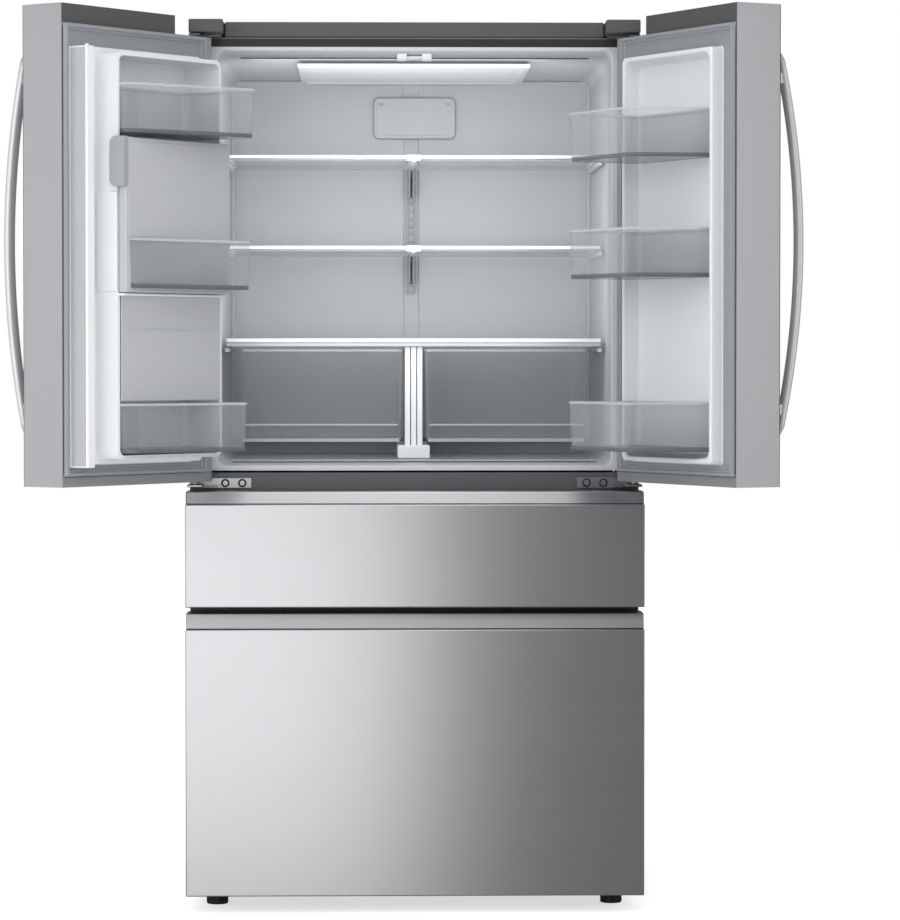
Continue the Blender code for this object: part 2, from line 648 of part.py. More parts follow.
def handle(side, name, hinge):
    """A bowed bar on two short posts, swept as one tube and flattened to its section."""
    count = 13
    middle = (HANDLE_TOP + HANDLE_BOTTOM) / 2
    half = (HANDLE_TOP - HANDLE_BOTTOM) / 2
    centre = -side * (EDGE_FREE - HANDLE_IN)
    curve = bpy.data.curves.new("handle", "CURVE")
    curve.dimensions = "3D"
    curve.bevel_depth = HANDLE_THICK / 2
    curve.bevel_resolution = 2
    curve.use_fill_caps = True
    line = curve.splines.new("POLY")
    line.points.add(count - 1)
    for i, point in enumerate(line.points):
        t = 2 * i / (count - 1) - 1
        reach = HANDLE_END + (HANDLE_REACH - HANDLE_END) * (1 - t * t)
        point.co = (0, OUTER - reach + HANDLE_THICK / 2, middle + t * half, 1)
    holder = bpy.data.objects.new("handle_curve", curve)
    cutters.objects.link(holder)
    mesh = bpy.data.meshes.new_from_object(
        holder.evaluated_get(bpy.context.evaluated_depsgraph_get()))
    bpy.data.objects.remove(holder)
    bm = bmesh.new()
    bm.from_mesh(mesh)
    bpy.data.meshes.remove(mesh)
    bmesh.ops.remove_doubles(bm, verts=bm.verts, dist=0.0001)
    bmesh.ops.scale(bm, vec=(HANDLE_WIDTH / HANDLE_THICK, 1, 1), verts=bm.verts)
    bmesh.ops.translate(bm, vec=(centre, 0, 0), verts=bm.verts)
    bmesh.ops.recalc_face_normals(bm, faces=bm.faces)
    bar = finish(f"handle_{name}", bm, CHROME, hinge)
    t_post = 1 - HANDLE_POST_IN / half
    reach = HANDLE_END + (HANDLE_REACH - HANDLE_END) * (1 - t_post * t_post)
    for end, z in (("top", HANDLE_TOP - HANDLE_POST_IN), ("bottom", HANDLE_BOTTOM + HANDLE_POST_IN)):
        post = cutter(f"post_{name}_{end}",
                      (centre - 8, OUTER - reach + HANDLE_THICK / 2, z - 11),
                      (centre + 8, OUTER - GAP, z + 11), hinge)
        combine(bar, post, "UNION")


def door_bin(name, plan, z0, high, parent, wall=BIN_WALL):
    """A clear bin: the plan at its floor, a slightly wider one at its rim, open on top."""
    middle = Vector((sum(p[0] for p in plan), sum(p[1] for p in plan))) / len(plan)
    floor = [middle + (Vector(p) - middle) * 0.96 for p in plan]
    rings = ([(p[0], p[1], z0 + high) for p in plan],
             [(p.x, p.y, z0) for p in floor])
    return loft(name, rings, wall, CLEAR, parent, in_front=True)


def left_bin_plan(back, reach):
    """Plan of a left bin from above, anticlockwise: it is shallower at the door's free end."""
    hinge_side = DIKE_HINGE + DIKE_WALL + 1
    free = LEFT_WALL_FREE - DIKE_WALL - 1
    free_front = INNER + 88.0
    return [(hinge_side, back), (free, back), (free, free_front), (free - 15, free_front + 20),
            (hinge_side, INNER + reach)]


def left_door_inside():
    back = POCKET_FLOOR + 2
    bins = (("top", ICE_TOP + 6, TOP_BIN_REACH), ("bottom", LOW_BIN, BIN_REACH))
    for name, z, reach in bins:
        door_bin(f"door_left_{name}_bin", left_bin_plan(back, reach), z, BIN_HIGH, left_hinge)
    ice_housing()
    bucket_back = POCKET_FLOOR + PLASTIC + 8
    bucket_front = INNER + LEFT_WALL_HIGH - 14
    x0, x1 = DIKE_HINGE + DIKE_WALL + 14, LEFT_WALL_FREE - DIKE_WALL - 14
    door_bin("ice_bucket", [(x0, bucket_back), (x1, bucket_back), (x1, bucket_front),
                            (x0, bucket_front)], ICE_BOTTOM + 14, 170, left_hinge)
    dispenser()


def ice_housing():
    """The ice compartment's shell, and under it the moulding behind the dispenser."""
    x0, x1 = DIKE_HINGE + DIKE_WALL + GAP, LEFT_WALL_FREE - DIKE_WALL - GAP
    back, front = POCKET_FLOOR + GAP, INNER + LEFT_WALL_HIGH
    box_ = open_box("ice_housing", (x0, back, ICE_BOTTOM), (x1, front, ICE_TOP), ((0, 1, 0),),
                    PLASTIC, WHITE, left_hinge)
    lower = open_box("dispenser_back", (x0, back, DISPENSER_BOTTOM - 10),
                     (x1, front - 6, ICE_BOTTOM + 2), ((0, -1, 0),), PLASTIC, WHITE, left_hinge)
    cutters.objects.link(lower)
    parts.objects.unlink(lower)
    hide_cutter(lower)
    combine(box_, lower, "UNION")


def dispenser():
    """The recess in the left door's outer face, and the paddle that hangs in it."""
    open_box("dispenser_recess",
             (DISPENSER_LEFT, OUTER, DISPENSER_BOTTOM),
             (DISPENSER_RIGHT, OUTER + DISPENSER_DEEP, DISPENSER_TOP), ((0, -1, 0),), PLASTIC,
             BLACK, left_hinge)
    box("dispenser_paddle", (-22, -3, -80), (22, 3, 4), MID, paddle_hinge, 1.5)


def ice_door_pieces():
    x1 = LEFT_WALL_FREE - 3 - ICE_HINGE_X
    half = ICE_DOOR_THICK / 2
    x0 = -half + 2
    box("ice_door", (x0, -half, ICE_BOTTOM + 2), (x1, half, ICE_TOP - 2), WHITE, ice_hinge, 3)
    free = x1 - 4
    front = INNER + BIN_REACH - ICE_HINGE_Y
    plan = [(x0, half + GAP), (free, half + GAP), (free - 14, front - 49), (x0, front)]
    door_bin("ice_door_bin", plan, ICE_BOTTOM + 10, BIN_HIGH, ice_hinge)


def mullion():
    """The flip bar, folded: its steel face looks towards the door's free edge."""
    far = MULLION_WIDTH - MULLION_BACK
    bar = box("mullion_bar", (-MULLION_THICK + 0.5, -MULLION_BACK, MULLION_BOTTOM),
              (0.5, far, MULLION_TOP), PLATED, bar_hinge, 1)
    pin = round_cutter("mullion_pin", (-MULLION_THICK / 2, far - 10), 4,
                       MULLION_TOP - 5, MULLION_TOP + PIN_HIGH, bar_hinge)
    combine(bar, pin, "UNION")


def right_door_inside():
    hinge_side = -(DIKE_HINGE + DIKE_WALL + 1)
    front = INNER + BIN_REACH
    back = POCKET_FLOOR + 2
    dike_top = INNER + DIKE_HIGH
    free = -(DIKE_FREE - DIKE_WALL - 28)
    plan = [(hinge_side, back), (hinge_side, front), (free + 52, front), (free, dike_top + 4),
            (free, back)]
    for name, z in (("upper", 1492.0), ("middle", 1262.0), ("lower", 926.0)):
        door_bin(f"door_right_{name}_bin", plan, z, BIN_HIGH, right_hinge)


# ---- drawers -------------------------------------------------------------------------------
def drawer_front(name, z0, z1, grip, parent):
    """Folded steel front with a finger channel along its top, open at the back."""
    half = DRAWER_WIDTH / 2
    face = DRAWER_FACE
    face_top = z1 - grip
    back = -DOOR_GAP
    profile = [(back, z0), (face, z0), (face, face_top), (face + LIP_THICK, face_top),
               (face + LIP_THICK, face_top - GRIP_DEEP), (face + LIP_THICK + 12, face_top - GRIP_DEEP),
               (face + GRIP_RUN, z1), (back, z1)]
    place = Matrix(((0, 0, 1, 0), (1, 0, 0, 0), (0, 1, 0, 0), (0, 0, 0, 1)))
    made = outline(name, profile, place, half, STEEL, parent)
    bm = bmesh.new()
    bm.from_mesh(made.data)
    bm.normal_update()
    rear = [f for f in bm.faces if f.normal.y > 0.9 and f.calc_center_median().y > back * MM - 1e-6]
    bmesh.ops.delete(bm, geom=rear, context="FACES")
    bm.to_mesh(made.data)
    bm.free()
    thicken(made, DRAWER_SHEET)


def tub(name, half, depth, z0, high, parent, draft=10.0):
    """An open drawer tub that hangs behind its front."""
    y0, y1 = -DOOR_GAP + GAP, depth
    rim = [(-half, y0), (half, y0), (half, y1), (-half, y1)]
    floor = [(-half + draft, y0 + draft), (half - draft, y0 + draft), (half - draft, y1 - draft),
             (-half + draft, y1 - draft)]
    loft(name, ([(x, y, z0 + high) for x, y in rim], [(x, y, z0) for x, y in floor]),
         TUB_WALL, WHITE, parent, in_front=True)


def drawer_pieces():
    half = OPENING_HALF - TUB_CLEAR
    drawer_front("middle_drawer_front", MIDDLE_BOTTOM, MIDDLE_TOP, MIDDLE_GRIP,
                 slides["middle_drawer"])
    tub("middle_drawer_tub", half, MIDDLE_TUB_DEPTH, MIDDLE_BOTTOM + 18, MIDDLE_TUB_HIGH,
        slides["middle_drawer"])
    drawer_front("freezer_drawer_front", FREEZER_BOTTOM, FREEZER_TOP, FREEZER_GRIP,
                 slides["freezer_drawer"])
    tub("freezer_drawer_basket", half, FREEZER_TUB_DEPTH, 92.0, FREEZER_TUB_HIGH,
        slides["freezer_drawer"])
    for side, name in ((-1, "left"), (1, "right")):
        x0, x1 = sorted((side * CRISPER_IN, side * CRISPER_OUT))
        y0, y1 = SHELF_FRONT, SHELF_REAR - 5
        rim = [(x0, y0), (x1, y0), (x1, y1), (x0, y1)]
        rings = ([(x, y, CRISPER_BOTTOM + CRISPER_HIGH) for x, y in rim],
                 [(x * 0.99, y, CRISPER_BOTTOM) for x, y in rim])
        loft("crisper_" + name, rings, CRISPER_WALL, CLEAR, slides["crisper_" + name],
             in_front=True)


case_pieces()
liner_pieces()
top_pieces()
mid_hinge(-1, "left")
mid_hinge(1, "right")
fridge_inside()
machine_pieces()
door_pieces(-1, "left", left_hinge)
door_pieces(1, "right", right_hinge)
left_door_inside()
ice_door_pieces()
mullion()
right_door_inside()
drawer_pieces()
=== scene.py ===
"""The looks of a french door refrigerator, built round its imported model, in metres, +Z up."""
import json
import math

import bmesh
import bpy
from mathutils import Matrix, Vector

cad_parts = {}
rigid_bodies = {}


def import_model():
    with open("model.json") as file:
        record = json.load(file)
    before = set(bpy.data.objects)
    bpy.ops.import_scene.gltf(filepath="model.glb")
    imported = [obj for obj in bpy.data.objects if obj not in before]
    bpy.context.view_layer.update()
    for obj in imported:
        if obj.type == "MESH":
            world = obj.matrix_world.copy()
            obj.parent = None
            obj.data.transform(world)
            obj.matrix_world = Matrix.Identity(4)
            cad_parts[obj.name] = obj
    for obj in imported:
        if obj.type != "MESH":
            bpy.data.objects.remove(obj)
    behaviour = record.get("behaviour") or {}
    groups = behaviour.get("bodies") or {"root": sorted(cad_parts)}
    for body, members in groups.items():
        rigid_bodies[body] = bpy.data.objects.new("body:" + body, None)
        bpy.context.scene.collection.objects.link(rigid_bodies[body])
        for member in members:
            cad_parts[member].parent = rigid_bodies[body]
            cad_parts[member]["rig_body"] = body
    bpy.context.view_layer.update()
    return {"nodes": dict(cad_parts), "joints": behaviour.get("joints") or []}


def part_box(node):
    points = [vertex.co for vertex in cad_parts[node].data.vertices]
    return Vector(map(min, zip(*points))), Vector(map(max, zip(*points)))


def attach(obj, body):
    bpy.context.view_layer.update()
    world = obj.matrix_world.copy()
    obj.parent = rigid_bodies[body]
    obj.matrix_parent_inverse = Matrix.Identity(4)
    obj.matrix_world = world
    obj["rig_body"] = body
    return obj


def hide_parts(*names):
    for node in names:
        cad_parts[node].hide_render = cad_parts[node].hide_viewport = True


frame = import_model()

# ---- camera ------------------------------------------------------------------------------------
# A long lens about eight case depths in front of the cabinet, at the height of the middle shelf,
# looking very slightly down. Places are in millimetres from the middle of the case's front edge.
MM = 0.001
case_low, case_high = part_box("outer_case")
CABINET = (Matrix.Translation(((case_low.x + case_high.x) / 2, case_low.y, 0))
           @ Matrix.Scale(MM, 4))

camera_data = bpy.data.cameras.new("camera")
camera_data.sensor_width = 36
camera_data.lens = 148.06
camera = bpy.data.objects.new("camera", camera_data)
camera.location = CABINET @ Vector((-94.3, -7625, 1105.7))
camera.rotation_euler = (math.radians(88.467), 0, math.radians(-1.245))
bpy.context.scene.collection.objects.link(camera)
bpy.context.scene.camera = camera
bpy.context.scene.view_settings.view_transform = "Standard"


# ---- studio ------------------------------------------------------------------------------------
# A pale floor in an even white room, mirrored dimmer than it lights. The soft boxes on the left
# brighten the left half of the drawers, and those overhead their sloped strips. Two lamps only
# light and are never mirrored: one in front, and one at the mouth of the open cabinet.
def linear(code):
    """An sRGB hex colour as linear red, green, blue and one."""
    parts = [int(code[i:i + 2], 16) / 255 for i in (1, 3, 5)]
    return (*(c / 12.92 if c <= 0.04045 else ((c + 0.055) / 1.055) ** 2.4 for c in parts), 1.0)


def node(tree, kind, values=None, **settings):
    """Add a node: settings are its properties, values its inputs or what is linked to them."""
    made = tree.nodes.new(kind)
    for key, value in settings.items():
        setattr(made, key, value)
    for key, value in (values or {}).items():
        if isinstance(value, bpy.types.NodeSocket):
            tree.links.new(value, made.inputs[key])
        else:
            made.inputs[key].default_value = value
    return made


room = bpy.data.worlds.new("white_room")
bpy.context.scene.world = room
room.use_nodes = True
room.node_tree.nodes.clear()
seen = node(room.node_tree, "ShaderNodeLightPath")
lit = node(room.node_tree, "ShaderNodeBackground", {"Color": linear("#FFFFFF"), "Strength": 0.60})
mirrored = node(room.node_tree, "ShaderNodeBackground",
                {"Color": linear("#FFFFFF"), "Strength": 0.17})
behind = node(room.node_tree, "ShaderNodeBackground",
              {"Color": linear("#FFFFFF"), "Strength": 1.0})
soft = node(room.node_tree, "ShaderNodeMixShader",
            {"Fac": seen.outputs["Is Glossy Ray"], 1: lit.outputs[0], 2: mirrored.outputs[0]})
shown = node(room.node_tree, "ShaderNodeMixShader",
             {"Fac": seen.outputs["Is Camera Ray"], 1: soft.outputs[0], 2: behind.outputs[0]})
node(room.node_tree, "ShaderNodeOutputWorld", {"Surface": shown.outputs[0]})


def soft_box(name, place, target, wide, high, radiance, mirrored=True):
    """An area light of an even radiance that faces a point; mirrored if gloss shows it."""
    lamp = bpy.data.lights.new(name, "AREA")
    lamp.shape = "RECTANGLE"
    lamp.size, lamp.size_y = wide, high
    lamp.energy = radiance * math.pi * wide * high
    holder = bpy.data.objects.new(name, lamp)
    holder.location = place
    holder.rotation_euler = (Vector(target) - Vector(place)).to_track_quat("-Z", "Y").to_euler()
    holder.visible_camera = False
    holder.visible_glossy = mirrored
    bpy.context.scene.collection.objects.link(holder)


soft_box("left_soft_box", (-1.18, -2.6, 0.4), (-1.18, 0, 0.4), 2.5, 1.6, 1.40)
soft_box("upper_left_soft_box", (-1.60, -2.6, 1.8), (-1.60, 0, 1.8), 1.7, 1.2, 1.40)
soft_box("right_soft_box", (3.4, -3.0, 1.5), (0.4, -0.3, 1.2), 2.4, 2.8, 0.74)
soft_box("far_left_soft_box", (-3.6, -1.3, 1.3), (-0.6, -0.4, 1.3), 2.4, 2.8, 0.72)
soft_box("strip_soft_box", (0.025, -2.7, 2.5), (0.025, -0.1, 0.7), 0.85, 1.1, 1.1)
soft_box("overhead_soft_box", (0.0, -1.6, 3.3), (0, -0.3, 1.0), 1.0, 2.0, 1.8)
soft_box("front_soft_box", (0.2, -5.5, 2.6), (0, 0, 1.25), 2.4, 0.9, 2.3, mirrored=False)
soft_box("cabinet_fill", (0.0, -0.10, 1.42), (0.0, 0.5, 1.40), 0.6, 0.6, 1.7, mirrored=False)

floor_mesh = bmesh.new()
bmesh.ops.create_grid(floor_mesh, x_segments=2, y_segments=2, size=14.0)
floor_data = bpy.data.meshes.new("studio_floor")
floor_mesh.to_mesh(floor_data)
floor_mesh.free()
paper = bpy.data.materials.new("matt_white_paper")
paper.use_nodes = True
paper_shader = paper.node_tree.nodes["Principled BSDF"]
paper_shader.inputs["Base Color"].default_value = linear("#FBFBFB")
paper_shader.inputs["Roughness"].default_value = 0.9
paper_shader.inputs["Emission Color"].default_value = (1, 1, 1, 1)
looked_at = node(paper.node_tree, "ShaderNodeLightPath")
lifted = node(paper.node_tree, "ShaderNodeMath", {0: looked_at.outputs["Is Camera Ray"], 1: 0.6},
              operation="MULTIPLY")
paper.node_tree.links.new(lifted.outputs[0], paper_shader.inputs["Emission Strength"])
floor_data.materials.append(paper)
studio_floor = bpy.data.objects.new("studio_floor", floor_data)
studio_floor.visible_glossy = False
bpy.context.scene.collection.objects.link(studio_floor)


# ---- outer case --------------------------------------------------------------------------------
# The wrap of pre-painted sheet steel round the top and sides, with its flat back panel. The steel
# is roll-coated and stippled, so it is satin grey with a fine orange-peel grain.
def finish(name, colour, roughness, metallic=0.0, more=None):
    """A new material with its even values, and any more by input name, set on the shader."""
    look = bpy.data.materials.new(name)
    look.use_nodes = True
    shader = look.node_tree.nodes["Principled BSDF"]
    shader.inputs["Base Color"].default_value = linear(colour)
    shader.inputs["Roughness"].default_value = roughness
    shader.inputs["Metallic"].default_value = metallic
    for key, value in (more or {}).items():
        shader.inputs[key].default_value = value
    return look, look.node_tree, shader


def grained(name, colour, roughness, grain, depth, drift=0.06, metallic=0.0, more=None):
    """A moulded or coated finish: grain (mm) is the pitch of its texture, depth (mm) its relief.

    drift is how far its tone wanders over a hand's breadth, as flow marks and handling leave it.
    """
    look, tree, shader = finish(name, colour, roughness, metallic, more)
    at = node(tree, "ShaderNodeTexCoord").outputs["Object"]
    broad = node(tree, "ShaderNodeTexNoise", {"Vector": at, "Scale": 9.0, "Detail": 2.0})
    base = linear(colour)
    low = tuple(c * (1 - drift) for c in base[:3]) + (1.0,)
    high = tuple(min(1.0, c * (1 + drift)) for c in base[:3]) + (1.0,)
    tone = node(tree, "ShaderNodeMix", {"Factor": broad.outputs["Fac"]}, data_type="RGBA")
    tone.inputs[6].default_value, tone.inputs[7].default_value = low, high
    tree.links.new(tone.outputs[2], shader.inputs["Base Color"])
    fine = node(tree, "ShaderNodeTexNoise",
                {"Vector": at, "Scale": 1 / (grain * MM), "Detail": 3.0, "Roughness": 0.6})
    sheen = node(tree, "ShaderNodeMapRange",
                 {"Value": fine.outputs["Fac"], "To Min": roughness * 0.85,
                  "To Max": min(1.0, roughness * 1.15)})
    tree.links.new(sheen.outputs["Result"], shader.inputs["Roughness"])
    relief = node(tree, "ShaderNodeBump",
                  {"Height": fine.outputs["Fac"], "Distance": depth * MM, "Strength": 0.6})
    tree.links.new(relief.outputs["Normal"], shader.inputs["Normal"])
    return look


def piece(name, bm, place, look, body, replaced=(), sharp=38):
    """Turn a bmesh laid out in millimetres into a finished piece, with its place in its mesh."""
    bmesh.ops.transform(bm, matrix=place, verts=bm.verts)
    mesh = bpy.data.meshes.new(name)
    bm.to_mesh(mesh)
    bm.free()
    mesh.materials.append(look)
    mesh.shade_smooth()
    mesh.set_sharp_from_angle(angle=math.radians(sharp))
    made = bpy.data.objects.new(name, mesh)
    bpy.context.scene.collection.objects.link(made)
    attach(made, body)
    if replaced:
        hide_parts(*replaced)
    return made


def levelled(made):
    """Keep large faces looking flat beside rounded edges; it stays the last modifier."""
    old = made.modifiers.get("level_faces")
    if old:
        made.modifiers.remove(old)
    made.modifiers.new("level_faces", "WEIGHTED_NORMAL").keep_sharp = True
    return made


def rounded(made, width, segments=3, angle=35):
    """Round every sharp edge of a piece, to a width in millimetres."""
    edge = made.modifiers.new("rounded_edges", "BEVEL")
    edge.width = width * MM
    edge.segments = segments
    edge.limit_method = "ANGLE"
    edge.angle_limit = math.radians(angle)
    edge.use_clamp_overlap = True
    return levelled(made)


def walled(made, wall, in_front=False):
    """Give an open surface a wall, in millimetres, behind its faces or in front of them."""
    shell = made.modifiers.new("wall", "SOLIDIFY")
    shell.thickness = wall * MM
    shell.offset = 1.0 if in_front else -1.0
    shell.use_even_offset = True
    return levelled(made)


def dressed(cad_node, look, width=0.8, segments=2):
    """A CAD piece's own shape, its corners merged and its edges rounded."""
    source = frame["nodes"][cad_node]
    bm = bmesh.new()
    bm.from_mesh(source.data)
    bmesh.ops.remove_doubles(bm, verts=bm.verts, dist=0.000002)
    bmesh.ops.dissolve_limit(bm, angle_limit=math.radians(0.5), verts=bm.verts, edges=bm.edges)
    made = piece(cad_node + "_finished", bm, Matrix.Identity(4), look, source["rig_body"],
                 (cad_node,))
    return rounded(made, width, segments)


def block(bm, low, high):
    """A box between two corners, added to a bmesh."""
    size = [b - a for a, b in zip(low, high)]
    middle = [(a + b) / 2 for a, b in zip(low, high)]
    place = Matrix.Translation(middle) @ Matrix.Diagonal((*size, 1.0))
    return bmesh.ops.create_cube(bm, size=1.0, matrix=place)["verts"]


def bar(name, boxes, place, look, body, width=1.0, segments=3, replaced=()):
    """One piece made of one or more bars between two corners each, with rounded edges."""
    bm = bmesh.new()
    for low, high in boxes:
        block(bm, low, high)
    return rounded(piece(name, bm, place, look, body, replaced), width, segments)


def relief(name, xs, zs, depth, wall, place, look, body, slot, replaced=(), back=False):
    """A pressed or moulded panel: a grid of xs by zs whose depth in Y follows a rule.

    It faces the front, or the rear if back is set, and its wall lies behind its face.
    """
    bm = bmesh.new()
    rows = [[bm.verts.new((x, depth(x, z), z)) for x in xs] for z in zs]
    for low, high in zip(rows, rows[1:]):
        for i in range(len(xs) - 1):
            corners = (low[i], low[i + 1], high[i + 1], high[i])
            bm.faces.new(reversed(corners) if back else corners)
    return walled(piece(name, bm, place, look, body, replaced), wall)


case_paint = grained("stippled_prepainted_steel", "#8D8E91", 0.48, 1.4, 0.05, 0.03)
dressed("outer_case", case_paint, 0.7)

back_low, back_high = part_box("back_panel")
BACK_Y = (back_high.y - case_low.y) / MM
BACK_HALF = (back_high.x - back_low.x) / MM / 2
bead_heights = [back_low.z / MM + 160 + 260 * i for i in range(6)]


def bead(x, z):
    """Shallow stiffening beads, pressed inwards across the back panel."""
    nearest = min(abs(z - h) for h in bead_heights)
    return BACK_Y - (1.6 if nearest < 8 and abs(x) < BACK_HALF - 70 else 0.0)


bead_rows = sorted([back_low.z / MM + 0.6, back_high.z / MM - 0.6]
                   + [h + d for h in bead_heights for d in (-14, -7, 7, 14)])
bead_columns = [-BACK_HALF + 0.6, -BACK_HALF + 62, -BACK_HALF + 74, 0,
                BACK_HALF - 74, BACK_HALF - 62, BACK_HALF - 0.6]
rounded(relief("back_panel_pressed", bead_columns, bead_rows, bead, 1.0, CABINET, case_paint,
               "cabinet", "case_paint", ("back_panel",), back=True), 0.4, 2, 20)

zinc = grained("zinc_plated_steel", "#A9ABAD", 0.34, 2.2, 0.02, 0.08, metallic=1.0)
dressed("base_frame", zinc, 0.6)
dressed("machine_cover", zinc, 0.6)


# ---- screws ------------------------------------------------------------------------------------
# Plated pan-head screws with a cross recess. They are set out as points on the sheet that they
# hold, and a node tree puts a head on each.
def screw_heads():
    """A node tree that puts a screw head on each point of a mesh."""
    tree = bpy.data.node_groups.new("pan_head_screws", "GeometryNodeTree")
    tree.is_modifier = True
    socket = tree.interface.new_socket
    socket("Geometry", in_out="INPUT", socket_type="NodeSocketGeometry")
    socket("Radius", in_out="INPUT", socket_type="NodeSocketFloat")
    socket("Height", in_out="INPUT", socket_type="NodeSocketFloat")
    socket("Recess", in_out="INPUT", socket_type="NodeSocketFloat")
    socket("Turn", in_out="INPUT", socket_type="NodeSocketVector")
    socket("Finish", in_out="INPUT", socket_type="NodeSocketMaterial")
    socket("Geometry", in_out="OUTPUT", socket_type="NodeSocketGeometry")
    given = node(tree, "NodeGroupInput").outputs
    radius, height, recess = given["Radius"], given["Height"], given["Recess"]

    def times(value, share):
        return node(tree, "ShaderNodeMath", {0: value, 1: share}, operation="MULTIPLY").outputs[0]

    head = node(tree, "GeometryNodeMeshCone",
                {"Vertices": 20, "Side Segments": 2, "Radius Top": times(radius, 0.72),
                 "Radius Bottom": radius, "Depth": height})
    long, thin = times(recess, 1.0), times(recess, 0.24)
    deep = times(height, 1.1)
    slots = []
    for a, b in ((long, thin), (thin, long)):
        size = node(tree, "ShaderNodeCombineXYZ", {"X": a, "Y": b, "Z": deep})
        cube = node(tree, "GeometryNodeMeshCube", {"Size": size.outputs[0]})
        lift = node(tree, "ShaderNodeCombineXYZ", {"Z": height})
        slots.append(node(tree, "GeometryNodeTransform",
                          {"Geometry": cube.outputs["Mesh"], "Translation": lift.outputs[0]}))
    cut = node(tree, "GeometryNodeMeshBoolean", {"Mesh 1": head.outputs["Mesh"]},
               operation="DIFFERENCE")
    for slot_cut in slots:
        tree.links.new(slot_cut.outputs[0], cut.inputs["Mesh 2"])
    placed = node(tree, "GeometryNodeInstanceOnPoints",
                  {"Points": given["Geometry"], "Instance": cut.outputs["Mesh"],
                   "Rotation": given["Turn"]})
    real = node(tree, "GeometryNodeRealizeInstances", {"Geometry": placed.outputs[0]})
    finished = node(tree, "GeometryNodeSetMaterial",
                    {"Geometry": real.outputs[0], "Material": given["Finish"]})
    node(tree, "NodeGroupOutput", {"Geometry": finished.outputs[0]})
    return tree


SCREWS = screw_heads()
screw_steel = grained("nickel_plated_screw_steel", "#B9BBBD", 0.28, 1.0, 0.01, 0.1, metallic=1.0)


def grown(name, points, place, tree, values, body):
    """Points run through a node tree and kept as a plain mesh."""
    mesh = bpy.data.meshes.new(name + "_points")
    mesh.from_pydata([place @ Vector(p) for p in points], [], [])
    holder = bpy.data.objects.new(name + "_points", mesh)
    bpy.context.scene.collection.objects.link(holder)
    rule = holder.modifiers.new("rule", "NODES")
    rule.node_group = tree
    sockets = {s.name: s.identifier for s in tree.interface.items_tree if s.in_out == "INPUT"}
    for key, value in values.items():
        rule[sockets[key]] = value
    bpy.context.view_layer.update()
    graph = bpy.context.evaluated_depsgraph_get()
    result = bpy.data.meshes.new_from_object(holder.evaluated_get(graph))
    result.name = name
    result.shade_smooth()
    result.set_sharp_from_angle(angle=math.radians(30))
    bpy.data.objects.remove(holder)
    bpy.data.meshes.remove(mesh)
    made = bpy.data.objects.new(name, result)
    bpy.context.scene.collection.objects.link(made)
    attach(made, body)
    return made


def screws(name, points, facing, body, place=CABINET, radius=4.0, height=2.4, recess=3.2):
    """Screw heads on points in millimetres, that look along a direction."""
    turn = Vector(facing).to_track_quat("Z", "Y").to_euler()
    return grown(name, points, place, SCREWS,
                 {"Radius": radius * MM, "Height": height * MM, "Recess": recess * MM,
                  "Turn": list(turn), "Finish": screw_steel}, body)


screw_back = []
for height in (330, 560, 820, 1080, 1340, 1600):
    screw_back += [(side * (BACK_HALF - 12), BACK_Y - 2.6, height) for side in (-1, 1)]
screw_back += [(x, BACK_Y - 2.6, 1730) for x in (-300, -100, 100, 300)]
screw_back += [(x, BACK_Y - 2.6, z) for x in (-430, -145, 145, 430) for z in (76, 274)]
screws("back_screws", screw_back, (0, 1, 0), "cabinet")


# ---- liner of the fresh food compartment -------------------------------------------------------
# One sheet of white-grey ABS, drawn over a mould into the case, so its corners are generously
# round and its satin surface shows only faint flow. Its front flange is the face the seals meet.
def ring(x0, x1, z0, z1, y, radius, steps=6):
    """A rectangle with round corners, anticlockwise seen from the front."""
    points = []
    for cx, cz, start in ((x1 - radius, z0 + radius, -90), (x1 - radius, z1 - radius, 0),
                          (x0 + radius, z1 - radius, 90), (x0 + radius, z0 + radius, 180)):
        for i in range(steps + 1):
            turn = math.radians(start + 90 * i / steps)
            points.append((cx + radius * math.cos(turn), y, cz + radius * math.sin(turn)))
    return points


def moulding(name, rings, wall, place, look, body, replaced=(), fillet=4.0, in_front=False,
             inward=False, segments=4):
    """A drawn or moulded panel: each ring joins the next, the last is filled, the first is open.

    Rings run anticlockwise seen from the hollow; inward turns them over for one that faces back.
    """
    bm = bmesh.new()
    loops = [[bm.verts.new(p) for p in (reversed(r) if inward else r)] for r in rings]
    for a, b in zip(loops, loops[1:]):
        for i in range(len(a)):
            j = (i + 1) % len(a)
            bm.faces.new((a[i], a[j], b[j], b[i]))
    bm.faces.new(loops[-1])
    made = piece(name, bm, place, look, body, replaced)
    if fillet:
        rounded(made, fillet, segments, 40)
    return walled(made, wall, in_front)


liner_abs = grained("satin_drawn_abs", "#D3D5D8", 0.36, 3.0, 0.01, 0.02)
liner_low, liner_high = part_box("fridge_liner")
FLANGE_HALF = (liner_high.x - liner_low.x) / MM / 2
FLANGE_LOW, FLANGE_HIGH = liner_low.z / MM, liner_high.z / MM
OPENING_HALF, FLOOR, CEILING = 396, 891, 1724
moulding("fridge_liner_drawn",
         (ring(-FLANGE_HALF, FLANGE_HALF, FLANGE_LOW, FLANGE_HIGH, 0, 2),
          ring(-OPENING_HALF, OPENING_HALF, FLOOR, CEILING, 0, 14),
          ring(-OPENING_HALF, OPENING_HALF, FLOOR + 4, CEILING - 12, 25, 16),
          ring(-OPENING_HALF + 8, OPENING_HALF - 8, FLOOR + 8, CEILING - 18, 640, 24)),
         3, CABINET, liner_abs, "cabinet", ("fridge_liner",), 3.0)

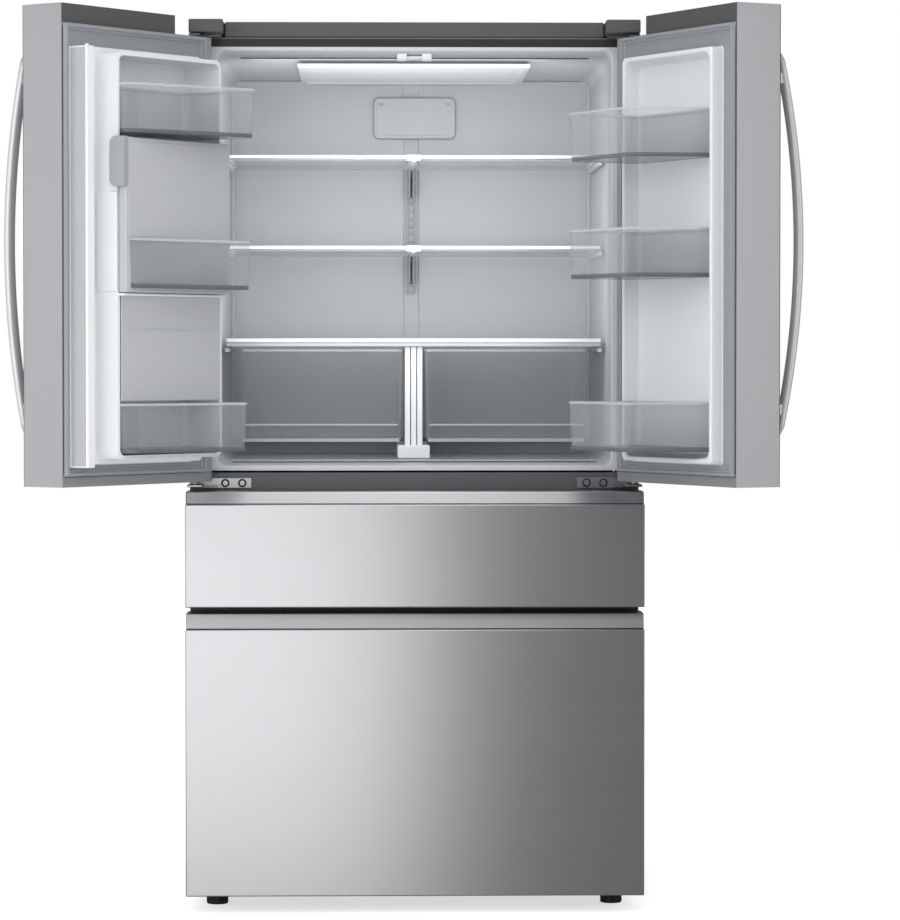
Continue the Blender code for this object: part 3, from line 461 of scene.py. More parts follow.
# The strip of dark grey coated steel that shows above the liner's flange, between the hinges.
# This dark grey also paints shadow: ceiling lip, drawer channels and gap, door seal grooves.
dark_grey_and_shade = grained("dark_grey_steel_and_painted_shade", "#2B2B2C", 0.42, 1.6, 0.02, 0.05)
bar("front_top_strip", [((-FLANGE_HALF + 4, -0.45, 1732), (FLANGE_HALF - 4, -0.05, 1748.5))],
    CABINET, dark_grey_and_shade, "cabinet", 0.1, 1)
# A dark bar under the ceiling's front lip: painted shadow, the line of shade along the lip.
bar("ceiling_lip_painted_shadow", [((-350, 25.2, CEILING - 13.6), (352, 27.4, CEILING - 11.8))], CABINET,
    dark_grey_and_shade, "cabinet", 0.2, 1)

# ---- ceiling lamp ------------------------------------------------------------------------------
# A wide LED lamp behind a frosted ribbed diffuser, clipped up into the ceiling in a white frame.
lamp_low, lamp_high = (CABINET.inverted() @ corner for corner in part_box("ceiling_lamp"))
lamp_look, lamp_tree, lamp_shader = finish("frosted_acrylic_diffuser", "#DDE0E3", 0.30)
lamp_shader.inputs["Emission Color"].default_value = linear("#F6F9FF")
lamp_shader.inputs["Emission Strength"].default_value = 0.12
lamp_at = node(lamp_tree, "ShaderNodeTexCoord").outputs["Object"]
lamp_grain = node(lamp_tree, "ShaderNodeTexNoise",
                  {"Vector": lamp_at, "Scale": 1 / (1.5 * MM), "Detail": 2.0})
lamp_bump = node(lamp_tree, "ShaderNodeBump",
                 {"Height": lamp_grain.outputs["Fac"], "Distance": 0.02 * MM})
lamp_tree.links.new(lamp_bump.outputs["Normal"], lamp_shader.inputs["Normal"])
RIB_PITCH = 10.0
rib_count = int((lamp_high.y - lamp_low.y - 24) / RIB_PITCH)
diffuser = bmesh.new()
profile = [(lamp_low.y + 12 + RIB_PITCH * (i + part / 4),
            lamp_low.z + 1.4 * abs(math.cos(math.pi * part / 4)))
           for i in range(rib_count) for part in range(4)]
lines = [[diffuser.verts.new((x, y, z)) for y, z in profile]
         for x in (lamp_low.x + 12, lamp_high.x - 12)]
for i in range(len(profile) - 1):
    diffuser.faces.new((lines[0][i], lines[0][i + 1], lines[1][i + 1], lines[1][i]))
walled(piece("lamp_diffuser", diffuser, CABINET, lamp_look, "cabinet",
             ("ceiling_lamp",)), 1.5)
white_abs = grained("satin_white_abs", "#ECEEF0", 0.32, 1.2, 0.008, 0.012)
frame_boxes = []
for x0, x1 in ((lamp_low.x, lamp_low.x + 14), (lamp_high.x - 14, lamp_high.x)):
    frame_boxes.append(((x0, lamp_low.y, lamp_low.z - 1.5), (x1, lamp_high.y, lamp_high.z)))
for y0, y1 in ((lamp_low.y, lamp_low.y + 14), (lamp_high.y - 14, lamp_high.y)):
    frame_boxes.append(((lamp_low.x + 13, y0, lamp_low.z - 1.5), (lamp_high.x - 13, y1, lamp_high.z)))
bar("lamp_frame", frame_boxes, CABINET, white_abs, "cabinet", 1.5, 3)

# ---- rear air duct, filter cover and ladder rail -----------------------------------------------
# The back wall is a separate moulded panel over the cold air duct. A shelf ladder stands down its
# middle, and the air filter sits behind a small cover with a finger dip, at the upper right.
duct_low, duct_high = (CABINET.inverted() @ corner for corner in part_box("air_duct"))
LADDER_HALF = 12


def duct_face(x, z):
    """The panel's face: a broad swelling in its middle and a sunk channel for the ladder."""
    swelling = 5.0 * max(0.0, 1 - (x / 330.0) ** 2)
    channel = 4.0 if abs(x) < LADDER_HALF + 4 else 0.0
    return duct_low.y + 6.5 - swelling + channel


duct_columns = sorted({duct_low.x + 2, duct_high.x - 2, *(i * 24.0 for i in range(-15, 16) if i),
                       *(side * (LADDER_HALF + d) for side in (-1, 1) for d in (3, 5))})
duct_rows = [duct_low.z + 2 + (duct_high.z - duct_low.z - 4) * i / 8 for i in range(9)]
relief("air_duct_panel", duct_columns, duct_rows, duct_face, 3, CABINET, liner_abs, "cabinet",
       "liner_grey", ("air_duct",))

bar("duct_edge_seals",
    [((side * 384.5 - 4.2, duct_low.y + 4, duct_low.z), (side * 384.5 + 4.2, duct_high.y, 1704))
     for side in (-1, 1)] + [((-380, duct_low.y + 4, duct_high.z - 3), (380, duct_high.y, 1706))],
    CABINET, liner_abs, "cabinet", 1.5, 3)

rail_grey = grained("moulded_grey_polypropylene", "#B9BCC0", 0.42, 0.9, 0.02, 0.03)
ladder_low, ladder_high = 1246.0, 1528.0
ladder_boxes = [((side * 8 - 2.5, duct_low.y - 1, ladder_low),
                 (side * 8 + 2.5, duct_low.y + 5, ladder_high)) for side in (-1, 1)]
SLOT_PITCH = 16.0
for i in range(int((ladder_high - ladder_low) / SLOT_PITCH) + 1):
    z = ladder_low + i * SLOT_PITCH
    ladder_boxes.append(((-6, duct_low.y + 0.5, z), (6, duct_low.y + 5, z + 6)))
bar("shelf_ladder", ladder_boxes, CABINET, rail_grey, "cabinet", 0.6, 2)
for name, z0, z1 in (("upper", 1452, 1522), ("middle", 1268, 1336)):
    bar(f"{name}_shelf_brackets",
        [((side * 4 - 1.6, duct_low.y - 40, z0), (side * 4 + 1.6, duct_low.y + 1, z1 - 9))
         for side in (-1, 1)]
        + [((side * 4 - 1.6, duct_low.y - 62, z1 - 26), (side * 4 + 1.6, duct_low.y - 30, z1 - 9))
           for side in (-1, 1)],
        CABINET, rail_grey, "cabinet", 1.2, 3)

filter_low, filter_high = (CABINET.inverted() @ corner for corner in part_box("air_filter_cover"))
filter_face = filter_low.y
moulding("air_filter_door",
         (ring(filter_low.x, filter_high.x, filter_low.z, filter_high.z, filter_high.y - 0.5, 12),
          ring(filter_low.x + 2, filter_high.x - 2, filter_low.z + 2, filter_high.z - 2,
               filter_face + 1, 11),
          ring(filter_low.x + 7, filter_high.x - 7, filter_low.z + 7, filter_high.z - 7,
               filter_face + 1, 8),
          ring(filter_low.x + 8, filter_high.x - 8, filter_low.z + 8, filter_high.z - 8,
               filter_face + 3, 7)),
         2, CABINET, liner_abs, "cabinet", ("air_filter_cover",), 1.0)
bar("air_filter_catches",
    [((x - 5, filter_face + 0.8, filter_high.z - 17), (x + 5, filter_face + 4, filter_high.z - 13))
     for x in (filter_low.x + 17, filter_high.x - 17)],
    CABINET, rail_grey, "cabinet", 0.8, 3)

# ---- mullion guide -----------------------------------------------------------------------------
# A white cam block under the ceiling's front lip. The flip bar's pin runs into its flared mouth.
guide_low, guide_high = (CABINET.inverted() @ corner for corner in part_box("mullion_guide"))
cam = bmesh.new()
block(cam, (guide_low.x, 12, guide_low.z + 4), (guide_high.x, guide_high.y, guide_low.z + 9))
for side in (-1, 1):
    block(cam, (side * 25 - 10, 5, guide_low.z + 1), (side * 25 + 10, guide_high.y - 2,
                                                     guide_low.z + 14))
rounded(piece("mullion_guide_block", cam, CABINET, white_abs, "cabinet",
              ("mullion_guide",)), 1.5, 3)

# ---- shelves -----------------------------------------------------------------------------------
# Four tempered glass plates, each bonded into white mouldings: a deep front trim against spills,
# a slimmer rear rail and side rails that slide on ledges of the liner.
def clear(name, colour, roughness, face, edge, blend, ior):
    """A clear solid seen as a film: face is how much it hides head on, edge at a grazing angle."""
    look, tree, shader = finish(name, colour, roughness, 0.0, {"IOR": ior})
    facing = node(tree, "ShaderNodeLayerWeight", {"Blend": blend}).outputs["Facing"]
    cover = node(tree, "ShaderNodeMapRange", {"Value": facing, "To Min": face, "To Max": edge})
    tree.links.new(cover.outputs["Result"], shader.inputs["Alpha"])
    at = node(tree, "ShaderNodeTexCoord").outputs["Object"]
    waves = node(tree, "ShaderNodeTexNoise", {"Vector": at, "Scale": 14.0, "Detail": 1.0})
    swell = node(tree, "ShaderNodeBump", {"Height": waves.outputs["Fac"], "Distance": 0.4 * MM,
                                          "Strength": 0.4})
    tree.links.new(swell.outputs["Normal"], shader.inputs["Normal"])
    return look


shelf_glass = clear("tempered_float_glass", "#DCE6E4", 0.03, 0.16, 0.62, 0.3, 1.52)
for level in ("upper", "middle"):
    for side in ("left", "right"):
        shelf = f"{level}_shelf_{side}"
        low, high = (CABINET.inverted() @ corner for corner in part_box(shelf))
        bar(f"{shelf}_plate", [((low.x + 4, low.y + 3, low.z + 1.2), (high.x - 4, high.y - 3, high.z - 1.2))],
            CABINET, shelf_glass, "cabinet", 0.6, 2, (shelf,))
        bar(f"{shelf}_front_trim",
            [((low.x + 0.3, low.y, low.z - 1.5), (high.x - 0.3, low.y + 20, low.z + 2.6)),
             ((low.x + 0.3, low.y, low.z - 1.5), (high.x - 0.3, low.y + 4, high.z + 1.2))],
            CABINET, white_abs, "cabinet", 1.3, 3)
        bar(f"{shelf}_rear_rail",
            [((low.x + 0.3, high.y - 12, low.z - 3), (high.x - 0.3, high.y, high.z + 6))],
            CABINET, rail_grey, "cabinet", 1.6, 3)
        bar(f"{shelf}_side_rails",
            [((x, low.y + 19, low.z - 2), (x + 7, high.y - 11, high.z + 0.4))
             for x in (low.x + 0.4, high.x - 7.4)],
            CABINET, white_abs, "cabinet", 1.2, 3)
    bar(f"{level}_shelf_clip",
        [((-15, low.y - 1.2, low.z - 3), (15, low.y + 7, high.z + 2)),
         ((-4, low.y + 2, low.z - 5), (4, high.y - 14, low.z - 2.2))],
        CABINET, white_abs, "cabinet", 1.6, 3)

# Moulded ledges of the liner's side walls that carry the shelves and the crisper cover.
ledge_boxes = []
shelf_heights = [(CABINET.inverted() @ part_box(n)[0]).z
                 for n in ("upper_shelf_left", "middle_shelf_left", "crisper_cover")]
for height in shelf_heights:
    for side in (-1, 1):
        inner, outer = side * 378, side * 388
        x0, x1 = sorted((inner, outer))
        ledge_boxes.append(((x0, 152, height - 12), (x1, 545, height - 2.6)))
bar("shelf_ledges", ledge_boxes, CABINET, liner_abs, "cabinet", 2.5, 3)

# ---- crispers ----------------------------------------------------------------------------------
# Two clear polystyrene drawers hang under a framed glass cover, either side of a white divider
# with a flared foot. The plastic shows its thickness as brighter rims and a darker grip line; the
# rims' lighter tint is partly the thick plastic and partly a painted highlight.
cover_low, cover_high = (CABINET.inverted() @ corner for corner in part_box("crisper_cover"))
bar("crisper_cover_glass", [((cover_low.x + 12, cover_low.y + 12, cover_high.z - 5),
                             (cover_high.x - 12, cover_high.y - 10, cover_high.z - 1))],
    CABINET, shelf_glass, "cabinet", 0.5, 2, ("crisper_cover",))
bar("crisper_cover_front", [((cover_low.x, cover_low.y, cover_high.z - 8),
                             (cover_high.x, cover_low.y + 26, cover_high.z))],
    CABINET, white_abs, "cabinet", 1.8, 3)
under_boxes = [((cover_low.x, cover_low.y + 3, cover_low.z), (cover_high.x, cover_low.y + 22,
                                                              cover_high.z - 8.4))]
for x in (cover_low.x + 0.3, -9, cover_high.x - 14.3):
    under_boxes.append(((x, cover_low.y + 22.5, cover_low.z + 4),
                        (x + 14, cover_high.y - 1, cover_high.z - 5.6)))
under_boxes.append(((cover_low.x + 0.3, cover_high.y - 11, cover_low.z + 5),
                    (cover_high.x - 0.3, cover_high.y, cover_high.z)))
bar("crisper_cover_frame", under_boxes, CABINET, rail_grey, "cabinet", 1.0, 3)

divider_low, divider_high = (CABINET.inverted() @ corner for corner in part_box("crisper_divider"))
mid_x = (divider_low.x + divider_high.x) / 2
bar("crisper_divider_post",
    [((mid_x - 18, divider_low.y + 4, divider_low.z + 22), (mid_x - 7, divider_high.y, divider_high.z)),
     ((mid_x - 5.5, divider_low.y + 1, divider_low.z + 22), (mid_x + 5.5, divider_high.y, divider_high.z)),
     ((mid_x + 7, divider_low.y + 4, divider_low.z + 22), (mid_x + 18, divider_high.y, divider_high.z))],
    CABINET, white_abs, "cabinet", 1.4, 3, ("crisper_divider",))
moulding("crisper_divider_foot",
         (ring(mid_x - 33, mid_x + 33, divider_low.z, divider_low.z + 27, divider_high.y, 3),
          ring(mid_x - 33, mid_x + 33, divider_low.z, divider_low.z + 27, divider_low.y - 6, 3)),
         2, CABINET, white_abs, "cabinet", (), 2.0)

clear_ps = clear("clear_moulded_polystyrene", "#C4C8CD", 0.05, 0.09, 0.50, 0.32, 1.59)
# Thick clear plastic seen on edge: partly its denser tint, partly a darker grey of painted shade.
edge_shade_ps = clear("clear_polystyrene_edge_and_painted_shade", "#777B80", 0.12, 0.48, 0.85, 0.4, 1.59)
# Thick clear rims: partly their denser tint, partly a lighter tint of painted highlight.
rim_highlight_ps = clear("clear_polystyrene_rim_and_painted_highlight", "#DDE1E5", 0.08, 0.42, 0.9, 0.4, 1.59)


def flat_ring(x0, x1, y0, y1, z, radius, steps=5):
    """A rectangle with round corners, anticlockwise seen from above."""
    points = []
    for cx, cy, start in ((x1 - radius, y0 + radius, -90), (x1 - radius, y1 - radius, 0),
                          (x0 + radius, y1 - radius, 90), (x0 + radius, y0 + radius, 180)):
        for i in range(steps + 1):
            turn = math.radians(start + 90 * i / steps)
            points.append((cx + radius * math.cos(turn), cy + radius * math.sin(turn), z))
    return points


def hoop(name, outline, height, thick, place, look, body, out=0.0, width=0.8):
    """A band that follows a closed outline: it stands up by height and is thick across."""
    bm = bmesh.new()
    middle = sum((Vector(p) for p in outline), Vector()) / len(outline)
    count = len(outline)
    loops = []
    for inset, rise in ((-out, 0), (thick - out, 0), (thick - out, height), (-out, height)):
        loop = []
        for i in range(count):
            before, here, after = (Vector(outline[(i + k) % count]) for k in (-1, 0, 1))
            ahead, past = (after - here).normalized(), (here - before).normalized()
            square = Vector((ahead.y + past.y, -ahead.x - past.x, 0)).normalized()
            lean = max(0.5, square.dot(Vector((ahead.y, -ahead.x, 0))))
            if square.dot(here - middle) < 0:
                square = -square
            loop.append(bm.verts.new(here - square * inset / lean + Vector((0, 0, rise))))
        loops.append(loop)
    for a, b in zip(loops, loops[1:] + loops[:1]):
        for i in range(count):
            j = (i + 1) % count
            bm.faces.new((a[i], a[j], b[j], b[i]))
    bmesh.ops.recalc_face_normals(bm, faces=bm.faces)
    return rounded(piece(name, bm, place, look, body), width, 2)


for side in ("left", "right"):
    crisper = f"crisper_{side}"
    low, high = (CABINET.inverted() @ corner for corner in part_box(crisper))
    moulding(f"{crisper}_tray",
             (flat_ring(low.x + 0.5, high.x - 0.5, low.y, high.y, high.z - 1, 12),
              flat_ring(low.x + 4, high.x - 4, low.y + 2, high.y - 4, low.z + 1, 12)),
             2.4, CABINET, clear_ps, crisper, (crisper,), 6.0, in_front=True)
    hoop(f"{crisper}_rim",
         flat_ring(low.x + 0.5, high.x - 0.5, low.y, high.y, high.z - 7, 12), 6, 3.2,
         CABINET, rim_highlight_ps, crisper)
    bar(f"{crisper}_grip",
        [((low.x + 10, low.y - 1.5, low.z + 34), (high.x - 10, low.y + 2, low.z + 38)),
         ((low.x + 8, low.y - 1.5, low.z + 1), (high.x - 8, low.y + 3, low.z + 8))],
        CABINET, rim_highlight_ps, crisper, 0.8, 2)

# A grey strip on the liner's floor, under the crispers' fronts.
bar("floor_strip", [((-372, 60, FLOOR + 6), (372, 150, FLOOR + 9))], CABINET, rail_grey, "cabinet",
    1.0, 2)

# ---- front rails and lower liner ---------------------------------------------------------------
# Dark coated steel across the case between the fresh food compartment and the drawers, the
# divider behind the drawers' gap, black as painted shade of the gap, and the drawn liner that
# both drawers share.
mid_coat = grained("mid_grey_coated_steel", "#5A5A5D", 0.40, 1.6, 0.02, 0.04)
dressed("mid_rail", mid_coat, 1.0, 3)
dressed("compartment_divider", grained("black_abs_painted_as_gap_shade", "#1A1A1B", 0.45, 1.0, 0.02, 0.1),
        0.8)
dressed("lower_liner", liner_abs, 1.0)

# ---- top cover, hinges -------------------------------------------------------------------------
# Pressed and plated hinges carry the doors. The upper ones hide under rounded grey caps at the
# ends of the top cover; the lower ones are plates screwed to the front rail.
trim_grey = grained("moulded_mid_grey_abs", "#575758", 0.40, 0.8, 0.02, 0.03)
dressed("top_cover", trim_grey, 2.4, 4)
hinge_steel = grained("pressed_zinc_steel", "#A7A9AA", 0.3, 1.2, 0.02, 0.1, metallic=1.0)
for side in ("left", "right"):
    low, high = (CABINET.inverted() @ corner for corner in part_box(f"hinge_cover_{side}"))
    bar(f"hinge_cover_{side}_cap", [(low, high)], CABINET, trim_grey, "cabinet", 2.6,
        4, (f"hinge_cover_{side}",))
    dressed(f"top_hinge_{side}", hinge_steel, 0.8)
    dressed(f"mid_hinge_{side}", hinge_steel, 1.4, 3)
MID_SCREWS_X, MID_SCREWS_Z = (347, 381), 855.5
for side, name in ((-1, "left"), (1, "right")):
    washers = bmesh.new()
    for x in MID_SCREWS_X:
        bmesh.ops.create_cone(washers, cap_ends=True, segments=28, radius1=8.8, radius2=8.4,
                              depth=1.4, matrix=Matrix.Translation((side * x, -4.6, MID_SCREWS_Z))
                              @ Matrix.Rotation(math.pi / 2, 4, "X"))
    rounded(piece(f"mid_hinge_washers_{name}", washers, CABINET, dark_grey_and_shade, "cabinet"), 0.4, 2)
    screws(f"mid_hinge_screws_{name}", [(side * x, -5.2, MID_SCREWS_Z) for x in MID_SCREWS_X],
           (0, -1, 0), "cabinet", radius=6.2, height=2.6, recess=6.0)
    bar(f"mid_hinge_edge_{name}",
        [((min(side * 396, side * 448), -46, 847.5), (max(side * 396, side * 448), -1, 850.5))],
        CABINET, hinge_steel, "cabinet", 1.2, 3)
screws("top_cover_screws", [(x, 50, 1779.6) for x in (-300, 0, 300)], (0, 0, 1), "cabinet",
       radius=4.5, height=2.2)

# ---- drawer fronts -----------------------------------------------------------------------------
# Each front is one folded sheet of stainless steel, brushed along its length. The grain is far
# finer than it can show, so it is drawn about 2 mm wide: it spreads a reflection up and down.
def brushed(name, colour, roughness, turn=0.0, along=(1, 0, 0)):
    """Brushed stainless steel; turn (degrees) sets the brushing's direction on a turned door."""
    look, tree, shader = finish(name, colour, roughness, 1.0,
                                {"Anisotropic": 0.55, "Anisotropic Rotation": 0.25})
    at = node(tree, "ShaderNodeTexCoord").outputs["Object"]
    laid = node(tree, "ShaderNodeMapping", {"Vector": at, "Rotation": (0, 0, math.radians(turn))})
    stretch = tuple(1.5 if a else 1 / (2.0 * MM) for a in along)
    drawn = node(tree, "ShaderNodeMapping", {"Vector": laid.outputs[0], "Scale": stretch})
    grain = node(tree, "ShaderNodeTexNoise",
                 {"Vector": drawn.outputs[0], "Scale": 1.0, "Detail": 3.0, "Roughness": 0.7})
    tint = linear(colour)
    tone = node(tree, "ShaderNodeMix", {"Factor": grain.outputs["Fac"]}, data_type="RGBA")
    tone.inputs[6].default_value = tuple(c * 0.93 for c in tint[:3]) + (1.0,)
    tone.inputs[7].default_value = tuple(min(1.0, c * 1.05) for c in tint[:3]) + (1.0,)
    tree.links.new(tone.outputs[2], shader.inputs["Base Color"])
    spread = node(tree, "ShaderNodeMapRange",
                  {"Value": grain.outputs["Fac"], "To Min": roughness * 0.85,
                   "To Max": roughness * 1.2})
    tree.links.new(spread.outputs["Result"], shader.inputs["Roughness"])
    lines = node(tree, "ShaderNodeBump", {"Height": grain.outputs["Fac"], "Distance": 0.012 * MM,
                                          "Strength": 0.5})
    tree.links.new(lines.outputs["Normal"], shader.inputs["Normal"])
    way = node(tree, "ShaderNodeTangent", direction_type="RADIAL", axis="Z")
    tree.links.new(way.outputs[0], shader.inputs["Tangent"])
    return look


drawer_steel = brushed("brushed_stainless_steel", "#D0D0D3", 0.30)
strip_steel = brushed("brushed_stainless_strip", "#BDBDC1", 0.22)
white_inner = grained("white_drawn_hips", "#E3E5E8", 0.38, 1.2, 0.01, 0.015)
seal_grey = grained("grey_magnetic_seal_pvc", "#9A9DA1", 0.52, 0.7, 0.02, 0.04)
DRAWER_HALF = 457
FACE = -110
LIP_DEPTH = 5
CHANNEL_DEEP, CHANNEL_RUN = 15, 29


def drawer_front(drawer, strip_high):
    """The folded front: a plain face, its top lip, the finger channel and the sloped strip.

    A thin dark bar in the channel, just above the lip, paints the shadow seen as a line over the face.
    """
    low, high = (CABINET.inverted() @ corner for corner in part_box(f"{drawer}_front"))
    z0, z1, back = low.z, high.z, high.y
    face_top = z1 - strip_high
    profile = [(back, z0), (FACE, z0), (FACE, face_top), (FACE + LIP_DEPTH, face_top),
               (FACE + LIP_DEPTH, face_top - CHANNEL_DEEP),
               (FACE + LIP_DEPTH + 12, face_top - CHANNEL_DEEP),
               (FACE + CHANNEL_RUN, z1), (back, z1)]
    bm = bmesh.new()
    ends = [[bm.verts.new((x, y, z)) for y, z in profile] for x in (-DRAWER_HALF, DRAWER_HALF)]
    for i in range(len(profile) - 1):
        bm.faces.new((ends[0][i], ends[0][i + 1], ends[1][i + 1], ends[1][i]))
    bm.faces.new(reversed(ends[0]))
    bm.faces.new(ends[1])
    bmesh.ops.recalc_face_normals(bm, faces=bm.faces)
    made = piece(f"{drawer}_face", bm, CABINET, drawer_steel, drawer,
                 (f"{drawer}_front",))
    made.data.materials.append(strip_steel)
    for face in made.data.polygons:
        slope = abs(face.normal.z) > 0.3 and face.normal.y < -0.3
        if slope and face.center.z > (face_top - CHANNEL_DEEP) * MM:
            face.material_index = 1
    rounded(made, 2.2, 4, 25)
    walled(made, 1.2)
    half = DRAWER_HALF - 3
    # A dark bar in the finger channel, painted as the channel's shadow.
    bar(f"{drawer}_channel_painted_shadow",
        [((-half, FACE + LIP_DEPTH + 2, face_top - 6), (half, FACE + LIP_DEPTH + 5, face_top + 2))],
        CABINET, dark_grey_and_shade, drawer, 0.4, 1)
    bar(f"{drawer}_inner_panel",
        [((-half, back - 14, z0 + 3), (half, back - 3.4, z1 - 3))],
        CABINET, white_inner, drawer, 3.0, 4)
    seal(f"{drawer}_seal", -half + 4, half - 4, z0 + 8, z1 - 6, back - 3.2, 8.6, CABINET, drawer)


SEAL_SHAPE = ((0, 0), (0, 0.75), (0.8, 1.0), (3.5, 0.93), (4.5, 0.99), (9.5, 0.99), (10.5, 0.93),
              (13.2, 1.0), (14, 0.75), (15, 0.42), (18, 0.3), (24, 0.24), (25, 0))


def seal(name, x0, x1, z0, z1, y, high, place, body, facing=-1, wide=25.0, replaced=()):
    """A magnetic seal: a ribbed tube with a flat foot, mitred into one rectangular ring."""
    bm = bmesh.new()
    loops = []
    for inset, rise in SEAL_SHAPE:
        inset *= wide / 25.0
        loops.append([bm.verts.new(p) for p in
                      ring(x0 + inset, x1 - inset, z0 + inset, z1 - inset,
                           y + facing * -rise * high, 3.0, 3)])
    for a, b in zip(loops, loops[1:] + loops[:1]):
        for i in range(len(a)):
            j = (i + 1) % len(a)
            bm.faces.new((a[i], a[j], b[j], b[i]))
    bmesh.ops.recalc_face_normals(bm, faces=bm.faces)
    return piece(name, bm, place, seal_grey, body, replaced, 45)


for drawer, strip_high in (("middle_drawer", 25), ("freezer_drawer", 31)):
    drawer_front(drawer, strip_high)
# A dark sheet behind the gap between the drawers: painted shadow, the shade seen in the gap.
bar("drawer_gap_painted_shadow", [((-450, -0.8, 589), (450, -0.2, 616))], CABINET, dark_grey_and_shade, "cabinet",
    0.1, 1)

# Drawn white tubs hang from the fronts on zinc plated telescopic rails.
for drawer, tub in (("middle_drawer", "middle_drawer_tub"),
                    ("freezer_drawer", "freezer_drawer_basket")):
    low, high = (CABINET.inverted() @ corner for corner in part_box(tub))
    moulding(f"{tub}_drawn",
             (flat_ring(low.x, high.x, low.y, high.y, high.z - 1, 22),
              flat_ring(low.x + 3, high.x - 3, low.y + 3, high.y - 3, high.z - 4, 20),
              flat_ring(low.x + 13, high.x - 13, low.y + 13, high.y - 13, low.z + 3, 16)),
             2.5, CABINET, white_inner, drawer, (tub,), 6.0, in_front=True)
    hoop(f"{tub}_rim", flat_ring(low.x + 1, high.x - 1, low.y + 1, high.y - 1, high.z - 9, 22), 9, 5,
         CABINET, white_inner, drawer, width=1.8)
    rail_z = high.z - 30
    for name, body, reach, thick, z0, z1 in (("fixed_rails", "cabinet", 392.0, 5.0, -21, 21),
                                              ("moving_rails", drawer, 386.5, 4.0, -13, 13)):
        boxes = []
        for side in (-1, 1):
            x0, x1 = sorted((side * reach, side * (reach - thick)))
            boxes.append(((x0, 6 if body == "cabinet" else -9, rail_z + z0),
                          (x1, high.y + 4, rail_z + z1)))
        bar(f"{drawer}_{name}", boxes, CABINET, zinc, body, 1.0, 3)

# ---- doors -------------------------------------------------------------------------------------
# Each door is a brushed stainless skin folded round three sides, closed by moulded caps at the top
# and the bottom. Places on a door run from its hinge pin: along it, into the case, and up.
HINGES = {j["name"]: j for j in frame["joints"]}


def door_place(joint):
    """From millimetres on the shut door, measured from its hinge pin, to where it stands open."""
    turn = -math.radians(joint["range_deg"][0]) * joint["axis"][2]
    x, y = joint["pos_m"][:2]
    return Matrix.Translation((x, y, 0)) @ Matrix.Rotation(turn, 4, "Z") @ Matrix.Scale(MM, 4)


DOORS = {"left": door_place(HINGES["door_left_hinge"]),
         "right": door_place(HINGES["door_right_hinge"])}


def on_door(side, cad_node):
    """A door piece's lowest and highest corners, measured on the shut door."""
    back = DOORS[side].inverted()
    places = [back @ v.co for v in frame["nodes"][cad_node].data.vertices]
    return (Vector(min(p[i] for p in places) for i in range(3)),
            Vector(max(p[i] for p in places) for i in range(3)))


def span(side, along0, along1):
    """Two places along a door as X, lowest first: the left door runs to +X, the right to -X."""
    sign = 1 if side == "left" else -1
    return sorted((sign * along0, sign * along1))


EDGE_HINGE, EDGE_FREE = -14.0, 436.0
INNER, OUTER = 32.0, -68.0
DOOR_LOW, DOOR_HIGH, CAP_LOW = 860.0, 1782.0, 1746.0
NOTCH_END = EDGE_HINGE + 112
LINER_LOW = 880.0
GLASS_X = (125.0, 305.0)
GLASS_Z = (1035.0, 1300.0)


def door_skin(side):
    """The folded sheet, cut down beside the hinge cover and, on the left, cut for the dispenser."""
    sign = 1 if side == "left" else -1
    columns = [EDGE_HINGE, NOTCH_END, *(GLASS_X if side == "left" else ()), EDGE_FREE]
    heights = [DOOR_LOW, *(GLASS_Z if side == "left" else ()), CAP_LOW, DOOR_HIGH]
    bm = bmesh.new()
    grid = {(a, z): bm.verts.new((sign * a, OUTER, z)) for a in columns for z in heights}
    for a in (EDGE_HINGE, EDGE_FREE):
        for z in heights:
            grid[(a, z, "in")] = bm.verts.new((sign * a, INNER, z))
    for z0, z1 in zip(heights, heights[1:]):
        for a0, a1 in zip(columns, columns[1:]):
            notch = z0 >= CAP_LOW and a1 <= NOTCH_END
            hole = side == "left" and (a0, a1) == GLASS_X and (z0, z1) == GLASS_Z
            if not notch and not hole:
                bm.faces.new([grid[k] for k in ((a0, z0), (a1, z0), (a1, z1), (a0, z1))])
        for a in (EDGE_HINGE, EDGE_FREE):
            if z0 >= CAP_LOW and a == EDGE_HINGE:
                continue
            bm.faces.new([grid[k] for k in ((a, z0, "in"), (a, z0), (a, z1), (a, z1, "in"))])
    bmesh.ops.delete(bm, geom=[v for v in bm.verts if not v.link_faces], context="VERTS")
    bmesh.ops.recalc_face_normals(bm, faces=bm.faces)
    face = max(bm.faces, key=lambda f: f.calc_area())
    if face.normal.y > 0:
        bmesh.ops.reverse_faces(bm, faces=bm.faces)
    steel = brushed(f"brushed_stainless_{side}_door", "#C9C8CC", 0.30,
                    -math.degrees(DOORS[side].to_euler().z))
    made = piece(f"door_{side}_steel", bm, DOORS[side], steel, f"door_{side}",
                 (f"door_{side}_skin",))
    rounded(made, 3.5, 5, 40)
    walled(made, 1.2)


cap_grey = grained("moulded_dark_grey_abs", "#565657", 0.42, 0.8, 0.02, 0.03)
foot_grey = grained("moulded_grey_abs", "#8E8F92", 0.42, 0.8, 0.02, 0.03)
for side in ("left", "right"):
    door_skin(side)
    dressed(f"door_{side}_top_cap", cap_grey, 1.6, 3)
    dressed(f"door_{side}_bottom_cap", foot_grey, 1.0, 3)

# ---- door liners and seals ---------------------------------------------------------------------
# White high-impact polystyrene, drawn in one sheet: a flat margin, a raised rounded dike and the
# pocket for the bins. The left one has a second, higher wall round the ice compartment. A grey
# magnetic seal is pushed into the margin, and covers it up to the dike.
DIKE = (48.0, 388.0, 903.0, 1702.0)
DIKE_WALL, DIKE_HIGH, POCKET = 9.0, 26.0, 10.0


def door_ring(side, along0, along1, z0, z1, depth, radius):
    x0, x1 = span(side, along0, along1)
    return ring(x0, x1, z0, z1, depth, radius)


